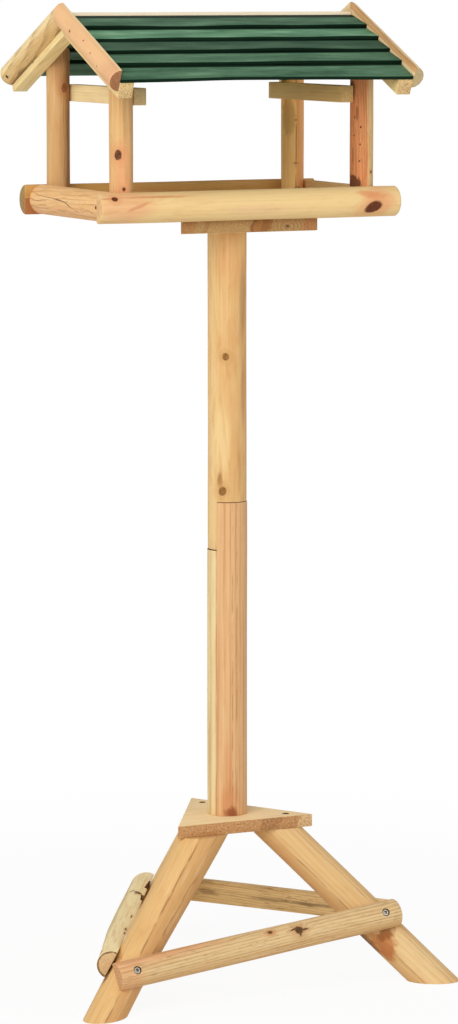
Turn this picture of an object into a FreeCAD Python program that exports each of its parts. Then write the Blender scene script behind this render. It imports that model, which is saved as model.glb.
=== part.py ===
import FreeCAD, Part
import os
import re

# Roofed bird table on a three-legged stand: millimetres, +X along the ridge, +Y to the back, +Z up.
# The origin is on the ground in the middle of the footprint.

doc = FreeCAD.newDocument("bird_table")

# Driving sizes: lengths in millimetres, angles in degrees
sizes = {
    # Stand
    "base_height": 202.5,
    "plate_thickness": 15,
    "plate_side": 179,
    "leg_diameter": 45,
    "leg_lean": 46,
    "leg_top_radius": 56.5,
    "brace_diameter": 34,
    "brace_overhang": 22,
    "right_brace_front_overhang": 10,
    "front_brace_left_height": 38.5,
    "front_brace_right_height": 71.5,
    "left_brace_front_height": 48,
    "left_brace_back_height": 55,
    "right_brace_back_height": 57,
    "right_brace_front_height": 67.5,
    # Pole
    "pole_length": 705,
    "lower_pole_diameter": 48,
    "upper_pole_diameter": 46.5,
    "lap_height": 322.5,
    "lap_length": 59,
    "lap_angle": 33,
    # Tray
    "plate_front_inset": 5.3,
    "tray_plate_shift": 5,
    "tray_inner_length": 342,
    "tray_inner_width": 214,
    "rail_diameter": 36,
    "rail_end_overhang": 24,
    "floor_thickness": 10,
    "floor_plank_gap": 1,
    # House
    "post_diameter": 28,
    "ridge_above_tray": 254,
    "roof_pitch": 24,
    "rafter_width": 18,
    "rafter_depth": 19.5,
    "rafter_length": 186,
    "barge_diameter": 27,
    "barge_upstand": 16,
    "tie_width": 16,
    "tie_depth": 20,
    "tie_end_inset": 8,
    "tie_drop": 33,
    # Roof boards
    "roof_board_width": 40,
    "roof_board_thickness": 4.5,
    "front_ridge_gap": 5.5,
    "back_ridge_lap": 4,
    # Fasteners
    "screw_diameter": 4,
    "screw_head_diameter": 8,
    "screw_head_depth": 3,
    "screw_sink": 1,
    "nail_diameter": 2.4,
    "nail_head_diameter": 4.4,
    "nail_head_depth": 1.2,
    "nail_sink": 2.5,
    "pin_diameter": 1.4,
    "pin_head_diameter": 2.4,
    "pin_head_depth": 0.8,
    "driver_room": 12,
    "brace_screw_length": 34,
    "leg_screw_length": 45,
    "leg_screw_offset": 14.5,
    "pole_screw_length": 60,
    "pole_screw_spacing": 20,
    "lap_screw_length": 36,
    "lap_screw_edge": 14,
    "plate_screw_length": 22,
    "plate_screw_spacing": 90,
    "plate_screw_edge": 6,
    "post_screw_length": 38,
    "post_screw_height": 14,
    "tie_screw_length": 32,
    "rafter_screw_length": 32,
    "barge_nail_length": 26,
    "barge_nail_end": 14,
    "barge_nail_ridge": 30,
    "tray_nail_length": 30,
    "roof_pin_clearance": 0.5,
    "roof_pin_edge": 4,
}
roof_board_count = 5
floor_plank_count = 3

# Sizes worked out from the driving ones
worked = {
    "leg_radius": "leg_diameter / 2",
    "brace_radius": "brace_diameter / 2",
    "plate_underside": "base_height - plate_thickness",
    "plate_corner_radius": "plate_side / sqrt(3)",
    "foot_radius": "leg_top_radius + plate_underside * tan(leg_lean)",
    "leg_apex": "foot_radius / tan(leg_lean)",
    "foot_half_length": "leg_radius / cos(leg_lean)",
    "front_reach": "foot_radius * sin(30) + sqrt((foot_half_length * sin(30)) ^ 2"
                   " + (leg_radius * cos(30)) ^ 2)",
    "back_reach": "foot_radius + foot_half_length",
    "pole_y": "(front_reach - back_reach) / 2",
    # A brace lies in the plane that touches two neighbouring legs
    "brace_plane_lean": "atan(tan(leg_lean) / 2)",
    "leg_spread": "asin(sin(leg_lean) * sin(60))",
    "lap_bottom": "base_height + lap_height",
    "lap_top": "lap_bottom + lap_length",
    "pole_top": "base_height + pole_length",
    "tray_bottom": "pole_top + plate_thickness",
    "floor_top": "tray_bottom + floor_thickness",
    # The upper plate's front edge stays close behind the front rail
    "tray_set_back": "tray_inner_width / 2 - plate_side / sqrt(12) - plate_front_inset",
    "house_y": "pole_y + tray_set_back",
    "rail_radius": "rail_diameter / 2",
    "rail_z": "tray_bottom + rail_radius",
    "rail_length": "tray_inner_length + 2 * rail_end_overhang",
    "tray_half_x": "tray_inner_length / 2",
    "tray_half_y": "tray_inner_width / 2",
    "post_radius": "post_diameter / 2",
    "post_x": "tray_half_x - post_radius",
    "post_y": "tray_half_y - post_radius",
    "gable_x": "tray_half_x + rafter_width",
    "ridge_z": "tray_bottom + ridge_above_tray",
    "rafter_apex": "barge_upstand / cos(roof_pitch)",
    "post_low_top": "ridge_z - rafter_apex - tray_half_y * tan(roof_pitch)",
    "tie_z": "post_low_top - tie_drop - tie_depth",
    "tie_length": "tray_inner_width - 2 * tie_end_inset",
    "front_first_edge": "(front_ridge_gap + barge_upstand * sin(roof_pitch)) / cos(roof_pitch)",
    "back_first_edge": "(barge_upstand * sin(roof_pitch) - back_ridge_lap) / cos(roof_pitch)",
    "barge_nail_drop": "(barge_upstand + barge_diameter) / 2",
    # A roof pin stops short of the screws through the middle of the rafters
    "roof_pin_length": "roof_board_thickness + (rafter_depth - screw_diameter) / 2 - roof_pin_clearance",
}

sheet = doc.addObject("Spreadsheet::Sheet", "Sizes")
derived = doc.addObject("Spreadsheet::Sheet", "Worked")


# Put the sheet's name in front of each alias, so that expressions stay short here
def expand(text):
    def add_sheet(match):
        word = match.group(0)
        if word in sizes:
            return "Sizes." + word
        if word in worked:
            return "Worked." + word
        return word
    return re.sub(r"[a-z_]+", add_sheet, text)


def fill(target, cells):
    for row, (name, content) in enumerate(cells.items(), start=1):
        target.set("A%d" % row, name)
        target.set("B%d" % row, content)
        target.setAlias("B%d" % row, name)
    doc.recompute()


fill(sheet, {name: str(value) for name, value in sizes.items()})
fill(derived, {name: "=" + expand(rule) for name, rule in worked.items()})

pieces = []


# Add one object, bind its sizes to the sheets and place it
def make(kind, name, bindings, where):
    made = doc.addObject(kind, name)
    for prop, rule in bindings.items():
        made.setExpression(prop, expand(rule))
    made.setExpression("Placement", expand(where))
    return made


def turn(axis, angle):
    vectors = {"x": "1; 0; 0", "y": "0; 1; 0", "z": "0; 0; 1"}
    return "rotation(vector(%s); %s)" % (vectors[axis], angle)


def at(x, y, z, rotation=None):
    return "placement(vector(%s; %s; %s); %s)" % (x, y, z, rotation or turn("z", "0"))


# A round log, or at 180 degrees a half log with its flat side on the local XZ plane
def log(name, diameter, length, where, angle=360):
    made = make("Part::Cylinder", name, {"Radius": diameter + " / 2", "Height": length}, where)
    made.Angle = angle
    return made


def box(name, length, width, height, where):
    return make("Part::Box", name, {"Length": length, "Width": width, "Height": height}, where)


def compound(name, members):
    made = doc.addObject("Part::Compound", name)
    made.Links = members
    return made


def cut(name, base, tools):
    made = doc.addObject("Part::Cut", name)
    made.Base = base
    made.Tool = tools[0] if len(tools) == 1 else compound(name + "_tools", tools)
    return made


def finish(label, made):
    made.Label = label
    pieces.append(made)
    return made


# A group of like screws, nails or pins. Each spot is a placement whose +Z points out of the head.
# What comes back cuts their holes: a sunk head's hole goes on outwards by the driver room,
# while a roof pin is flush and covered by the next board up.
def fasteners(label, kind, length, spots):
    members = []
    cutters = []
    for number, spot in enumerate(spots, start=1):
        name = "%s_%d" % (label, number)
        head_depth = kind + "_head_depth"
        shank = make("Part::Cylinder", name + "_shank",
                     {"Radius": kind + "_diameter / 2", "Height": "%s - %s" % (length, head_depth)},
                     "%s * %s" % (spot, at("0", "0", "-(%s)" % length)))
        head = make("Part::Cone", name + "_head",
                    {"Radius1": kind + "_diameter / 2", "Radius2": kind + "_head_diameter / 2",
                     "Height": head_depth},
                    "%s * %s" % (spot, at("0", "0", "-" + head_depth)))
        whole = doc.addObject("Part::Fuse", name)
        whole.Base = shank
        whole.Tool = head
        members.append(whole)
        if kind == "pin":
            cutters.append(whole)
            continue
        room = make("Part::Cylinder", name + "_room",
                    {"Radius": kind + "_head_diameter / 2", "Height": "driver_room"}, spot)
        cutter = doc.addObject("Part::Fuse", name + "_cutter")
        cutter.Base = whole
        cutter.Tool = room
        cutters.append(cutter)
    finish(label, compound(label + "_group", members))
    return compound(label + "_cutters", cutters)


# Stand: a leg points to the left front, the right front and straight back
stand = at("0", "pole_y", "0")
leg_angles = {"left": -150, "right": -30, "back": 90}
plate_turn = turn("z", "90")

pole_foot_spots = ["%s * %s" % (stand, at(side + "pole_screw_spacing / 2", "0", "plate_underside",
                                          turn("x", "180"))) for side in ("-", "")]
pole_foot_holes = fasteners("pole_foot_screws", "screw", "pole_screw_length", pole_foot_spots)
leg_screw_spots = ["%s * %s * %s" % (stand, at("0", "0", "0", turn("z", str(heading))),
                                     at("leg_top_radius + leg_screw_offset", "0", "base_height"))
                   for heading in leg_angles.values()]
leg_screw_holes = fasteners("leg_screws", "screw", "leg_screw_length", leg_screw_spots)

# The way each brace's outer side faces, then the leg heights it crosses on the local -X and +X side,
# and how far it runs on past the +X leg
brace_angles = {"brace_front": -90, "brace_left": 150, "brace_right": 30}
brace_ends = {
    "brace_front": ("front_brace_right_height", "front_brace_left_height", "brace_overhang"),
    "brace_left": ("left_brace_front_height", "left_brace_back_height", "brace_overhang"),
    "brace_right": ("right_brace_back_height", "right_brace_front_height", "right_brace_front_overhang"),
}


# A frame at the point where the leg axes meet, with +Y square to the plane of two legs
def brace_frame(name):
    return "%s * %s" % (at("0", "pole_y", "leg_apex", turn("z", str(brace_angles[name] - 90))),
                        at("0", "0", "0", turn("x", "brace_plane_lean")))


def down_leg(height):
    return "((leg_apex - %s) / cos(leg_lean))" % height


brace_spots = []
for name, (minus_end, plus_end, overhang) in brace_ends.items():
    for sign, height in (("-", minus_end), ("", plus_end)):
        crossing = at("%s%s * sin(leg_spread)" % (sign, down_leg(height)),
                      "leg_radius + brace_radius - screw_sink",
                      "-%s * cos(leg_spread)" % down_leg(height), turn("x", "-90"))
        brace_spots.append("%s * %s" % (brace_frame(name), crossing))
brace_holes = fasteners("brace_screws", "screw", "brace_screw_length", brace_spots)

for name, (minus_end, plus_end, overhang) in brace_ends.items():
    near = down_leg(minus_end)
    far = down_leg(plus_end)
    run = "((%s + %s) * sin(leg_spread))" % (near, far)
    fall = "((%s - %s) * cos(leg_spread))" % (far, near)
    slant = "atan(%s / %s)" % (fall, run)
    start = at("-%s * sin(leg_spread)" % near, "leg_radius", "-%s * cos(leg_spread)" % near,
               turn("y", "90 deg + " + slant))
    back_off = at("0", "0", "-brace_overhang")
    blank = log(name + "_blank", "brace_diameter",
                "%s / cos(%s) + brace_overhang + %s" % (run, slant, overhang),
                "%s * %s * %s" % (brace_frame(name), start, back_off), 180)
    finish(name, cut(name + "_cut", blank, [brace_holes]))

for name, heading in leg_angles.items():
    axis = "%s * %s" % (at("0", "pole_y", "leg_apex", turn("z", str(heading))),
                        at("0", "0", "0", turn("y", "180 - leg_lean")))
    blank = log("leg_%s_blank" % name, "leg_diameter", "2 * leg_apex / cos(leg_lean)", axis)
    slab = box("leg_%s_slab" % name, "4 * foot_radius", "4 * foot_radius", "plate_underside",
               at("-2 * foot_radius", "-2 * foot_radius", "0"))
    trimmed = doc.addObject("Part::Common", "leg_%s_trimmed" % name)
    trimmed.Base = blank
    trimmed.Tool = slab
    finish("leg_" + name, cut("leg_%s_cut" % name, trimmed, [leg_screw_holes, brace_holes]))


def triangle(name, shift, bottom):
    made = make("Part::Prism", name, {"Circumradius": "plate_corner_radius", "Height": "plate_thickness"},
                at(shift, "pole_y", bottom, plate_turn))
    made.Polygon = 3
    return made


finish("base_plate", cut("base_plate_cut", triangle("base_plate_blank", "0", "plate_underside"),
                         [pole_foot_holes, leg_screw_holes]))

# Pole: two round lengths half-lapped together and screwed from the back
pole_head_spots = ["%s * %s" % (stand, at(side + "pole_screw_spacing / 2", "0", "tray_bottom"))
                   for side in ("-", "")]
pole_head_holes = fasteners("pole_head_screws", "screw", "pole_screw_length", pole_head_spots)
lap_frame = at("0", "pole_y", "0", turn("z", "lap_angle"))
lap_face = "upper_pole_diameter / 2 - screw_sink"
lap_spots = ["%s * %s" % (lap_frame, at("0", lap_face, height, turn("x", "-90")))
             for height in ("lap_bottom + lap_screw_edge", "lap_top - lap_screw_edge")]
lap_holes = fasteners("lap_screws", "screw", "lap_screw_length", lap_spots)


# Half the space around the lap: side 0 is behind the lap plane, side 180 in front of it
def lap_block(name, side):
    return box(name, "2 * lower_pole_diameter", "lower_pole_diameter", "lap_length",
               "%s * %s * %s" % (lap_frame, at("0", "0", "lap_bottom", turn("z", side)),
                                 at("-lower_pole_diameter", "0", "0")))


lower_blank = log("pole_lower_blank", "lower_pole_diameter", "lap_height + lap_length",
                  at("0", "pole_y", "base_height"))
finish("pole_lower", cut("pole_lower_cut", lower_blank,
                         [lap_block("lap_back", "0"), lap_holes, pole_foot_holes]))
upper_blank = log("pole_upper_blank", "upper_pole_diameter", "pole_top - lap_bottom",
                  at("0", "pole_y", "lap_bottom"))
finish("pole_upper", cut("pole_upper_cut", upper_blank,
                         [lap_block("lap_front", "180"), lap_holes, pole_head_holes]))

# Tray: a floor of planks inside four half-log rails, on the upper triangular plate

# The house's own frame: turned by 180 degrees, the front half becomes the back half
def house(angle):
    return at("0", "house_y", "0", turn("z", str(angle)))


half_angles = {"front": 0, "back": 180}
left_of = {"front": {"left": "-", "right": ""}, "back": {"left": "", "right": "-"}}
corners = [(half, side) for half in half_angles for side in ("left", "right")]
gable_angles = {"left": 0, "right": 180}

plank_pitch = "(tray_inner_width + floor_plank_gap) / %d" % floor_plank_count
plank_middles = ["-tray_half_y + (%s) * %.1f - floor_plank_gap / 2" % (plank_pitch, number + 0.5)
                 for number in range(floor_plank_count)]
last_plank_edge = "%s - ((%s) - floor_plank_gap) / 2" % (plank_middles[-1], plank_pitch)
plate_screw_spots = ["%s * %s" % (house(0), at(x, y, "floor_top")) for x, y in (
    ("tray_plate_shift - plate_screw_spacing / 2", plank_middles[0]),
    ("tray_plate_shift + plate_screw_spacing / 2", plank_middles[0]),
    ("tray_plate_shift", plank_middles[1]),
    ("tray_plate_shift", last_plank_edge + " + plate_screw_edge"),
)]
plate_screw_holes = fasteners("tray_plate_screws", "screw", "plate_screw_length", plate_screw_spots)
finish("tray_plate", cut("tray_plate_cut", triangle("tray_plate_blank", "tray_plate_shift", "pole_top"),
                         [pole_head_holes, plate_screw_holes]))
nail_into_rail = "rail_radius - floor_thickness / 2"
tray_nail_spots = []
for angle in gable_angles.values():
    for post in ("-post_y", "post_y"):
        tray_nail_spots.append("%s * %s" % (house(angle), at("-tray_half_x - rail_radius + nail_sink", post,
                                                             "rail_z", turn("y", "-90"))))
    for middle in plank_middles:
        crown = "sqrt(rail_radius ^ 2 - (%s) ^ 2)" % nail_into_rail
        tray_nail_spots.append("%s * %s" % (house(angle), at("-tray_half_x - %s + nail_sink" % crown, middle,
                                                             "tray_bottom + floor_thickness / 2",
                                                             turn("y", "-90"))))
tray_nail_holes = fasteners("tray_nails", "nail", "tray_nail_length", tray_nail_spots)
post_screw_spots = ["%s * %s" % (house(angle), at(side + "post_x", "post_radius - post_y",
                                                  "floor_top + post_screw_height", turn("x", "-90")))
                    for angle in half_angles.values() for side in ("-", "")]
post_screw_holes = fasteners("post_screws", "screw", "post_screw_length", post_screw_spots)

for number, middle in enumerate(plank_middles, start=1):
    blank = box("floor_plank_%d_blank" % number, "tray_inner_length", plank_pitch + " - floor_plank_gap",
                "floor_thickness",
                "%s * %s" % (house(0), at("-tray_half_x", "%s - ((%s) - floor_plank_gap) / 2"
                                          % (middle, plank_pitch), "tray_bottom")))
    finish("floor_plank_%d" % number, cut("floor_plank_%d_cut" % number, blank,
                                          [plate_screw_holes, tray_nail_holes]))
for name, angle in half_angles.items():
    blank = log("tray_%s_blank" % name, "rail_diameter", "rail_length",
                "%s * %s" % (house(angle), at("rail_length / 2", "-tray_half_y", "rail_z",
                                              turn("z", "180") + " * " + turn("y", "90"))), 180)
    finish("tray_%s_rail" % name, cut("tray_%s_cut" % name, blank, [post_screw_holes]))
for name, angle in gable_angles.items():
    blank = log("tray_%s_blank" % name, "rail_diameter", "tray_inner_width",
                "%s * %s" % (house(angle), at("-tray_half_x", "-tray_half_y", "rail_z",
                                              turn("z", "90") + " * " + turn("y", "90"))), 180)
    finish("tray_%s_rail" % name, cut("tray_%s_cut" % name, blank, [tray_nail_holes]))

# House: four posts, a tie across each gable, and rafters that carry the roof
tie_screw_spots = ["%s * %s" % (house(angle), at("-post_x + post_radius + tie_width", y,
                                                 "tie_z + tie_depth / 2", turn("y", "90")))
                   for angle in gable_angles.values() for y in ("-post_y", "post_y")]
tie_screw_holes = fasteners("tie_screws", "screw", "tie_screw_length", tie_screw_spots)


# A frame on the ridge line whose -Y axis runs down one slope, level with the barge boards' tops
def slope(angle):
    return "%s * %s" % (at("0", "house_y", "ridge_z", turn("z", str(angle))),
                        at("0", "0", "0", turn("x", "roof_pitch")))


rafter_mid = "barge_upstand + rafter_depth / 2"
rafter_at_post = "(post_y + (%s) * sin(roof_pitch)) / cos(roof_pitch)" % rafter_mid
rafter_screw_spots = ["%s * %s" % (slope(angle), at(side + "gable_x", "-" + rafter_at_post,
                                                    "-(%s)" % rafter_mid, turn("y", side + "90")))
                      for angle in half_angles.values() for side in ("-", "")]
rafter_screw_holes = fasteners("rafter_screws", "screw", "rafter_screw_length", rafter_screw_spots)

barge_crown = "sqrt(barge_diameter ^ 2 / 4 - (barge_nail_drop - barge_diameter / 2) ^ 2)"
barge_nail_spots = ["%s * %s" % (slope(angle), at("%s(gable_x + %s - nail_sink)" % (side, barge_crown), along,
                                                  "-barge_nail_drop", turn("y", side + "90")))
                    for angle in half_angles.values() for side in ("-", "")
                    for along in ("barge_nail_end - rafter_length", "-barge_nail_ridge")]
barge_nail_holes = fasteners("barge_nails", "nail", "barge_nail_length", barge_nail_spots)


# A frame at the top of a roof board's underside: -Y runs down the board, +Z out of its face.
# Every board but the lowest is tipped by its own thickness so that it lies on the next one down.
def board_frame(half, number):
    first = half + "_first_edge"
    pitch = "((rafter_length - roof_board_width - %s) / %d)" % (first, roof_board_count - 1)
    tip = "0" if number == roof_board_count else "-asin(roof_board_thickness / %s)" % pitch
    return "%s * %s" % (slope(half_angles[half]), at("0", "-(%s + %d * %s)" % (first, number - 1, pitch),
                                                "-barge_upstand", turn("x", tip)))


boards = [(half, number) for half in half_angles for number in range(1, roof_board_count + 1)]
roof_pin_spots = ["%s * %s" % (board_frame(half, number), at(side + "(gable_x - rafter_width / 2)",
                                                             "-roof_pin_edge", "roof_board_thickness"))
                  for half, number in boards for side in ("-", "")]
roof_pin_holes = fasteners("roof_pins", "pin", "roof_pin_length", roof_pin_spots)


# The space beyond the upright plane through the ridge, where the other slope's pieces are
def far_side(name, angle):
    return box(name, "4 * gable_x", "4 * rafter_length", "4 * rafter_length",
               "%s * %s" % (at("0", "house_y", "ridge_z", turn("z", str(angle))),
                            at("-2 * gable_x", "0", "-2 * rafter_length")))


for half, side in corners:
    sign = left_of[half][side]
    name = "%s_%s" % (half, side)
    angle = half_angles[half]
    post_blank = log("post_%s_blank" % name, "post_diameter", "ridge_above_tray",
                     "%s * %s" % (house(angle), at(sign + "post_x", "-post_y", "floor_top")))
    above = box("post_%s_above" % name, "4 * gable_x", "2 * rafter_length", "rafter_length",
                "%s * %s" % (slope(angle), at("-2 * gable_x", "-2 * rafter_length", "-barge_upstand")))
    finish("post_" + name, cut("post_%s_cut" % name, post_blank,
                               [above, post_screw_holes, tray_nail_holes, tie_screw_holes,
                                rafter_screw_holes]))
    inner = "tray_half_x" if sign == "" else "-gable_x"
    rafter_blank = box("rafter_%s_blank" % name, "rafter_width", "2 * rafter_length", "rafter_depth",
                       "%s * %s" % (slope(angle), at(inner, "-rafter_length",
                                                     "-(barge_upstand + rafter_depth)")))
    finish("rafter_" + name, cut("rafter_%s_cut" % name, rafter_blank,
                                 [far_side("rafter_%s_ridge" % name, angle), rafter_screw_holes,
                                  barge_nail_holes, roof_pin_holes]))
    lie_down = turn("x", "90") + " * " + turn("z", "-90" if sign == "" else "90")
    barge_blank = log("barge_%s_blank" % name, "barge_diameter", "2 * rafter_length",
                      "%s * %s" % (slope(angle), at(sign + "gable_x", "rafter_length",
                                                    "-barge_diameter / 2", lie_down)), 180)
    finish("barge_" + name, cut("barge_%s_cut" % name, barge_blank,
                                [far_side("barge_%s_ridge" % name, angle), barge_nail_holes]))

for side, angle in gable_angles.items():
    blank = box("tie_%s_blank" % side, "tie_width", "tie_length", "tie_depth",
                "%s * %s" % (house(angle), at("-post_x + post_radius", "-tie_length / 2", "tie_z")))
    finish("tie_" + side, cut("tie_%s_cut" % side, blank, [tie_screw_holes]))

for half, number in boards:
    name = "roof_board_%s_%d" % (half, number)
    blank = box(name + "_blank", "2 * gable_x", "roof_board_width", "roof_board_thickness",
                "%s * %s" % (board_frame(half, number), at("-gable_x", "-roof_board_width", "0")))
    finish(name, cut(name + "_cut", blank, [roof_pin_holes]))

doc.recompute()

os.makedirs("parts", exist_ok=True)
for thing in doc.Objects:
    if "Invalid" in thing.State or "Error" in thing.State:
        raise RuntimeError("%s: %s" % (thing.Name, thing.State))
for thing in pieces:
    if thing.Shape.isNull() or not thing.Shape.isValid() or not thing.Shape.Solids:
        raise RuntimeError("bad shape: " + thing.Label)
    thing.Shape.exportStep("parts/%s.step" % thing.Label)
    print("%-24s %2d solids %12.1f mm3" % (thing.Label, len(thing.Shape.Solids), thing.Shape.Volume))
print("%d nodes" % len(pieces))
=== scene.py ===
import math
import random

import bmesh
import bpy
from mathutils import Matrix, Vector, noise


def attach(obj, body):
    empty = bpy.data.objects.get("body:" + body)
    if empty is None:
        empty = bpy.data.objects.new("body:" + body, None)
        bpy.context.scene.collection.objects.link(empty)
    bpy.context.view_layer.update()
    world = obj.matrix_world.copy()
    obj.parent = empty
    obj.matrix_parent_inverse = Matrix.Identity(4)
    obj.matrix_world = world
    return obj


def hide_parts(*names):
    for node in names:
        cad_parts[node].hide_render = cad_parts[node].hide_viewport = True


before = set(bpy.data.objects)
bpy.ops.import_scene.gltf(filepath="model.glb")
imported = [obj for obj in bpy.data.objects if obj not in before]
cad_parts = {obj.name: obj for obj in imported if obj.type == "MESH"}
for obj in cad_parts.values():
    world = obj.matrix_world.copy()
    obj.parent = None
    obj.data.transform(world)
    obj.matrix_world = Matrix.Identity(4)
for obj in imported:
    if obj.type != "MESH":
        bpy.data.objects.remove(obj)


class Look(dict):
    # a dictionary whose values are read as look.name
    __getattr__ = dict.__getitem__


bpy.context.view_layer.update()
scene = bpy.context.scene
scene.view_settings.view_transform = "Standard"
up = Vector((0, 0, 1))
white = (1, 1, 1, 1)

# the CAD's main sizes, in metres
stand = Look(
    baseTop=0.2025, plateThick=0.015, plateSide=0.179, legRadius=0.0225, lean=math.radians(46),
    legTopRadius=0.0565, braceRadius=0.017)
pole = Look(
    screwHalf=0.01, y=-0.066192, lowerRadius=0.024, upperRadius=0.02325, top=0.9075, lapBottom=0.525,
    lapTop=0.584, lapGap=0.0008, lapTurn=math.radians(33))
house = Look(
    y=-0.016165, floorUnder=0.9225, floorThick=0.01, halfX=0.171, halfY=0.107, railRadius=0.018,
    railHalf=0.195, postRadius=0.014, ridge=1.1765, pitch=math.radians(24), rafterWide=0.018,
    rafterDeep=0.0195, rafterLong=0.186, bargeRadius=0.0135, upstand=0.016)
plateUnder = stand.baseTop - stand.plateThick
footRadius = stand.legTopRadius + plateUnder * math.tan(stand.lean)
legApex = footRadius / math.tan(stand.lean)
floorTop = house.floorUnder + house.floorThick
gableX = house.halfX + house.rafterWide


def turnTo(degrees):
    return math.cos(math.radians(degrees)), math.sin(math.radians(degrees))


def meshOf(name, bm):
    mesh = bpy.data.meshes.new(name)
    bm.to_mesh(mesh)
    bm.free()
    return mesh


def addObject(name, data):
    made = bpy.data.objects.new(name, data)
    scene.collection.objects.link(made)
    return made


# shader nodes go into the tree that was started last
treeNow = Look(tree=None)


def startTree(owner):
    owner.use_nodes = True
    treeNow["tree"] = owner.node_tree
    return owner.node_tree.nodes


def setInputs(node, inputs):
    for key, value in inputs.items():
        if isinstance(value, bpy.types.NodeSocket):
            treeNow.tree.links.new(value, node.inputs[key])
        else:
            node.inputs[key].default_value = value


def addNode(kind, inputs=None, **settings):
    made = treeNow.tree.nodes.new(kind)
    for key, value in settings.items():
        setattr(made, key, value)
    setInputs(made, inputs or {})
    return made


def calc(operation, a, b=0.0, clamp=False):
    return addNode("ShaderNodeMath", {0: a, 1: b}, operation=operation, use_clamp=clamp).outputs[0]


def times(a, b):
    return calc("MULTIPLY", a, b)


def push(value, by, amount):
    # value + by * amount
    return calc("ADD", value, times(by, amount))


def calcVector(operation, a, b=(0, 0, 0)):
    made = addNode("ShaderNodeVectorMath", {0: a, 1: b}, operation=operation)
    return made.outputs["Value" if operation in ("LENGTH", "DOT_PRODUCT") else "Vector"]


def measure(place, direction):
    return calcVector("DOT_PRODUCT", place, direction)


def farOut(place, stretch):
    return calcVector("LENGTH", calcVector("MULTIPLY", place, stretch))


def fade(value, low, high, fromValue=0.0, toValue=1.0):
    steps = {0: value, 1: low, 2: high, 3: fromValue, 4: toValue}
    return addNode("ShaderNodeMapRange", steps, interpolation_type="SMOOTHSTEP").outputs[0]


def mixColor(factor, a, b, mode="MIX"):
    return addNode("ShaderNodeMix", {0: factor, 6: a, 7: b}, data_type="RGBA", blend_type=mode).outputs[2]


def layer(color, tone, value, low, high, start, end, mode="MIX"):
    # a tone over the colour, as much of it as the value says
    return mixColor(fade(value, low, high, start, end), color, (*tone, 1), mode)


def cloud(place, scale, seed, detail=2.0, rough=0.55, output=0):
    spread = calcVector("MULTIPLY", place, scale)
    spread = calcVector("ADD", spread, (seed * 3.7, seed * 1.9, seed * 5.3))
    made = addNode("ShaderNodeTexNoise",
                   {"Vector": spread, "Scale": 1.0, "Detail": detail, "Roughness": rough})
    return made.outputs[output]


def ramp(value, stops):
    made = addNode("ShaderNodeValToRGB", {0: value})
    points = made.color_ramp.elements
    while len(points) < len(stops):
        points.new(0.5)
    for point, (where, level) in zip(points, stops):
        point.position = where
        point.color = (level, level, level, 1)
    return made.outputs[0]


def addBump(height, strength):
    return addNode("ShaderNodeBump", {"Strength": strength, "Distance": 0.0005, "Height": height}).outputs[0]


def newMaterial(name):
    material = bpy.data.materials.new(name)
    return material, startTree(material)["Principled BSDF"]


cameraLook = Look(
    sensor=36, clipEnd=200, azimuth=math.radians(-25.406), distance=5.0, height=1.20734,
    turn=math.radians(-0.025), down=math.radians(7.271), lens=147.686)


def setCamera():
    a, t, d = cameraLook.azimuth, cameraLook.azimuth + cameraLook.turn, cameraLook.down
    data = bpy.data.cameras.new("camera")
    data.sensor_width = cameraLook.sensor
    data.lens = cameraLook.lens
    data.clip_end = cameraLook.clipEnd
    camera = addObject("camera", data)
    camera.location = (math.sin(a) * cameraLook.distance, pole.y - math.cos(a) * cameraLook.distance,
                       cameraLook.height)
    ahead = Vector((-math.sin(t) * math.cos(d), math.cos(t) * math.cos(d), -math.sin(d)))
    camera.rotation_euler = ahead.to_track_quat("-Z", "Y").to_euler()
    scene.camera = camera


lightLook = Look(
    world=0.4, aim=(0, 0, 0.65), floorSize=40, floorTone=(0.93, 0.93, 0.92, 1), floorRough=0.9,
    floorGlow=0.92, glowNear=0.45, glowFar=1.3,
    lamps=[Look(name="keyLamp", place=(-3.9, -3.4, 3.6), size=4.5, power=258),
           Look(name="fillLamp", place=(3.0, -3.6, 2.0), size=3.0, power=42)])


def seenDirectly():
    rays = addNode("ShaderNodeLightPath")
    seen = calc("MAXIMUM", rays.outputs["Is Camera Ray"], rays.outputs["Is Glossy Ray"])
    return calc("MAXIMUM", seen, rays.outputs["Is Transmission Ray"])


def mixInto(output, share, first, second):
    mix = addNode("ShaderNodeMixShader", {0: share, 1: first.outputs[0], 2: second.outputs[0]})
    setInputs(treeNow.tree.nodes[output], {0: mix.outputs[0]})


def setStage():
    world = bpy.data.worlds.new("studio")
    scene.world = world
    light = startTree(world)["Background"]
    setInputs(light, {0: white, 1: lightLook.world})
    backdrop = addNode("ShaderNodeBackground", {0: white, 1: 1.0})
    mixInto("World Output", seenDirectly(), light, backdrop)
    for lamp in lightLook.lamps:
        data = bpy.data.lights.new(lamp.name, "AREA")
        data.energy = lamp.power
        data.size = lamp.size
        made = addObject(lamp.name, data)
        made.location = lamp.place
        made.rotation_euler = (Vector(lightLook.aim) - made.location).to_track_quat("-Z", "Y").to_euler()

    # a floor that takes shadows near the stand and glows white further out
    bm = bmesh.new()
    bmesh.ops.create_grid(bm, x_segments=2, y_segments=2, size=lightLook.floorSize)
    floor = addObject("floor", meshOf("floor", bm))
    material, shader = newMaterial("paleFloor")
    setInputs(shader, {"Base Color": lightLook.floorTone, "Roughness": lightLook.floorRough})
    glow = addNode("ShaderNodeEmission", {0: white, 1: 1.0})
    away = calcVector("LENGTH", addNode("ShaderNodeTexCoord").outputs["Object"])
    share = fade(away, lightLook.glowNear, lightLook.glowFar, lightLook.floorGlow, 1)
    mixInto("Material Output", times(seenDirectly(), share), shader, glow)
    floor.data.materials.append(material)


setCamera()
setStage()
print("stage: camera, lamps and floor")

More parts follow.
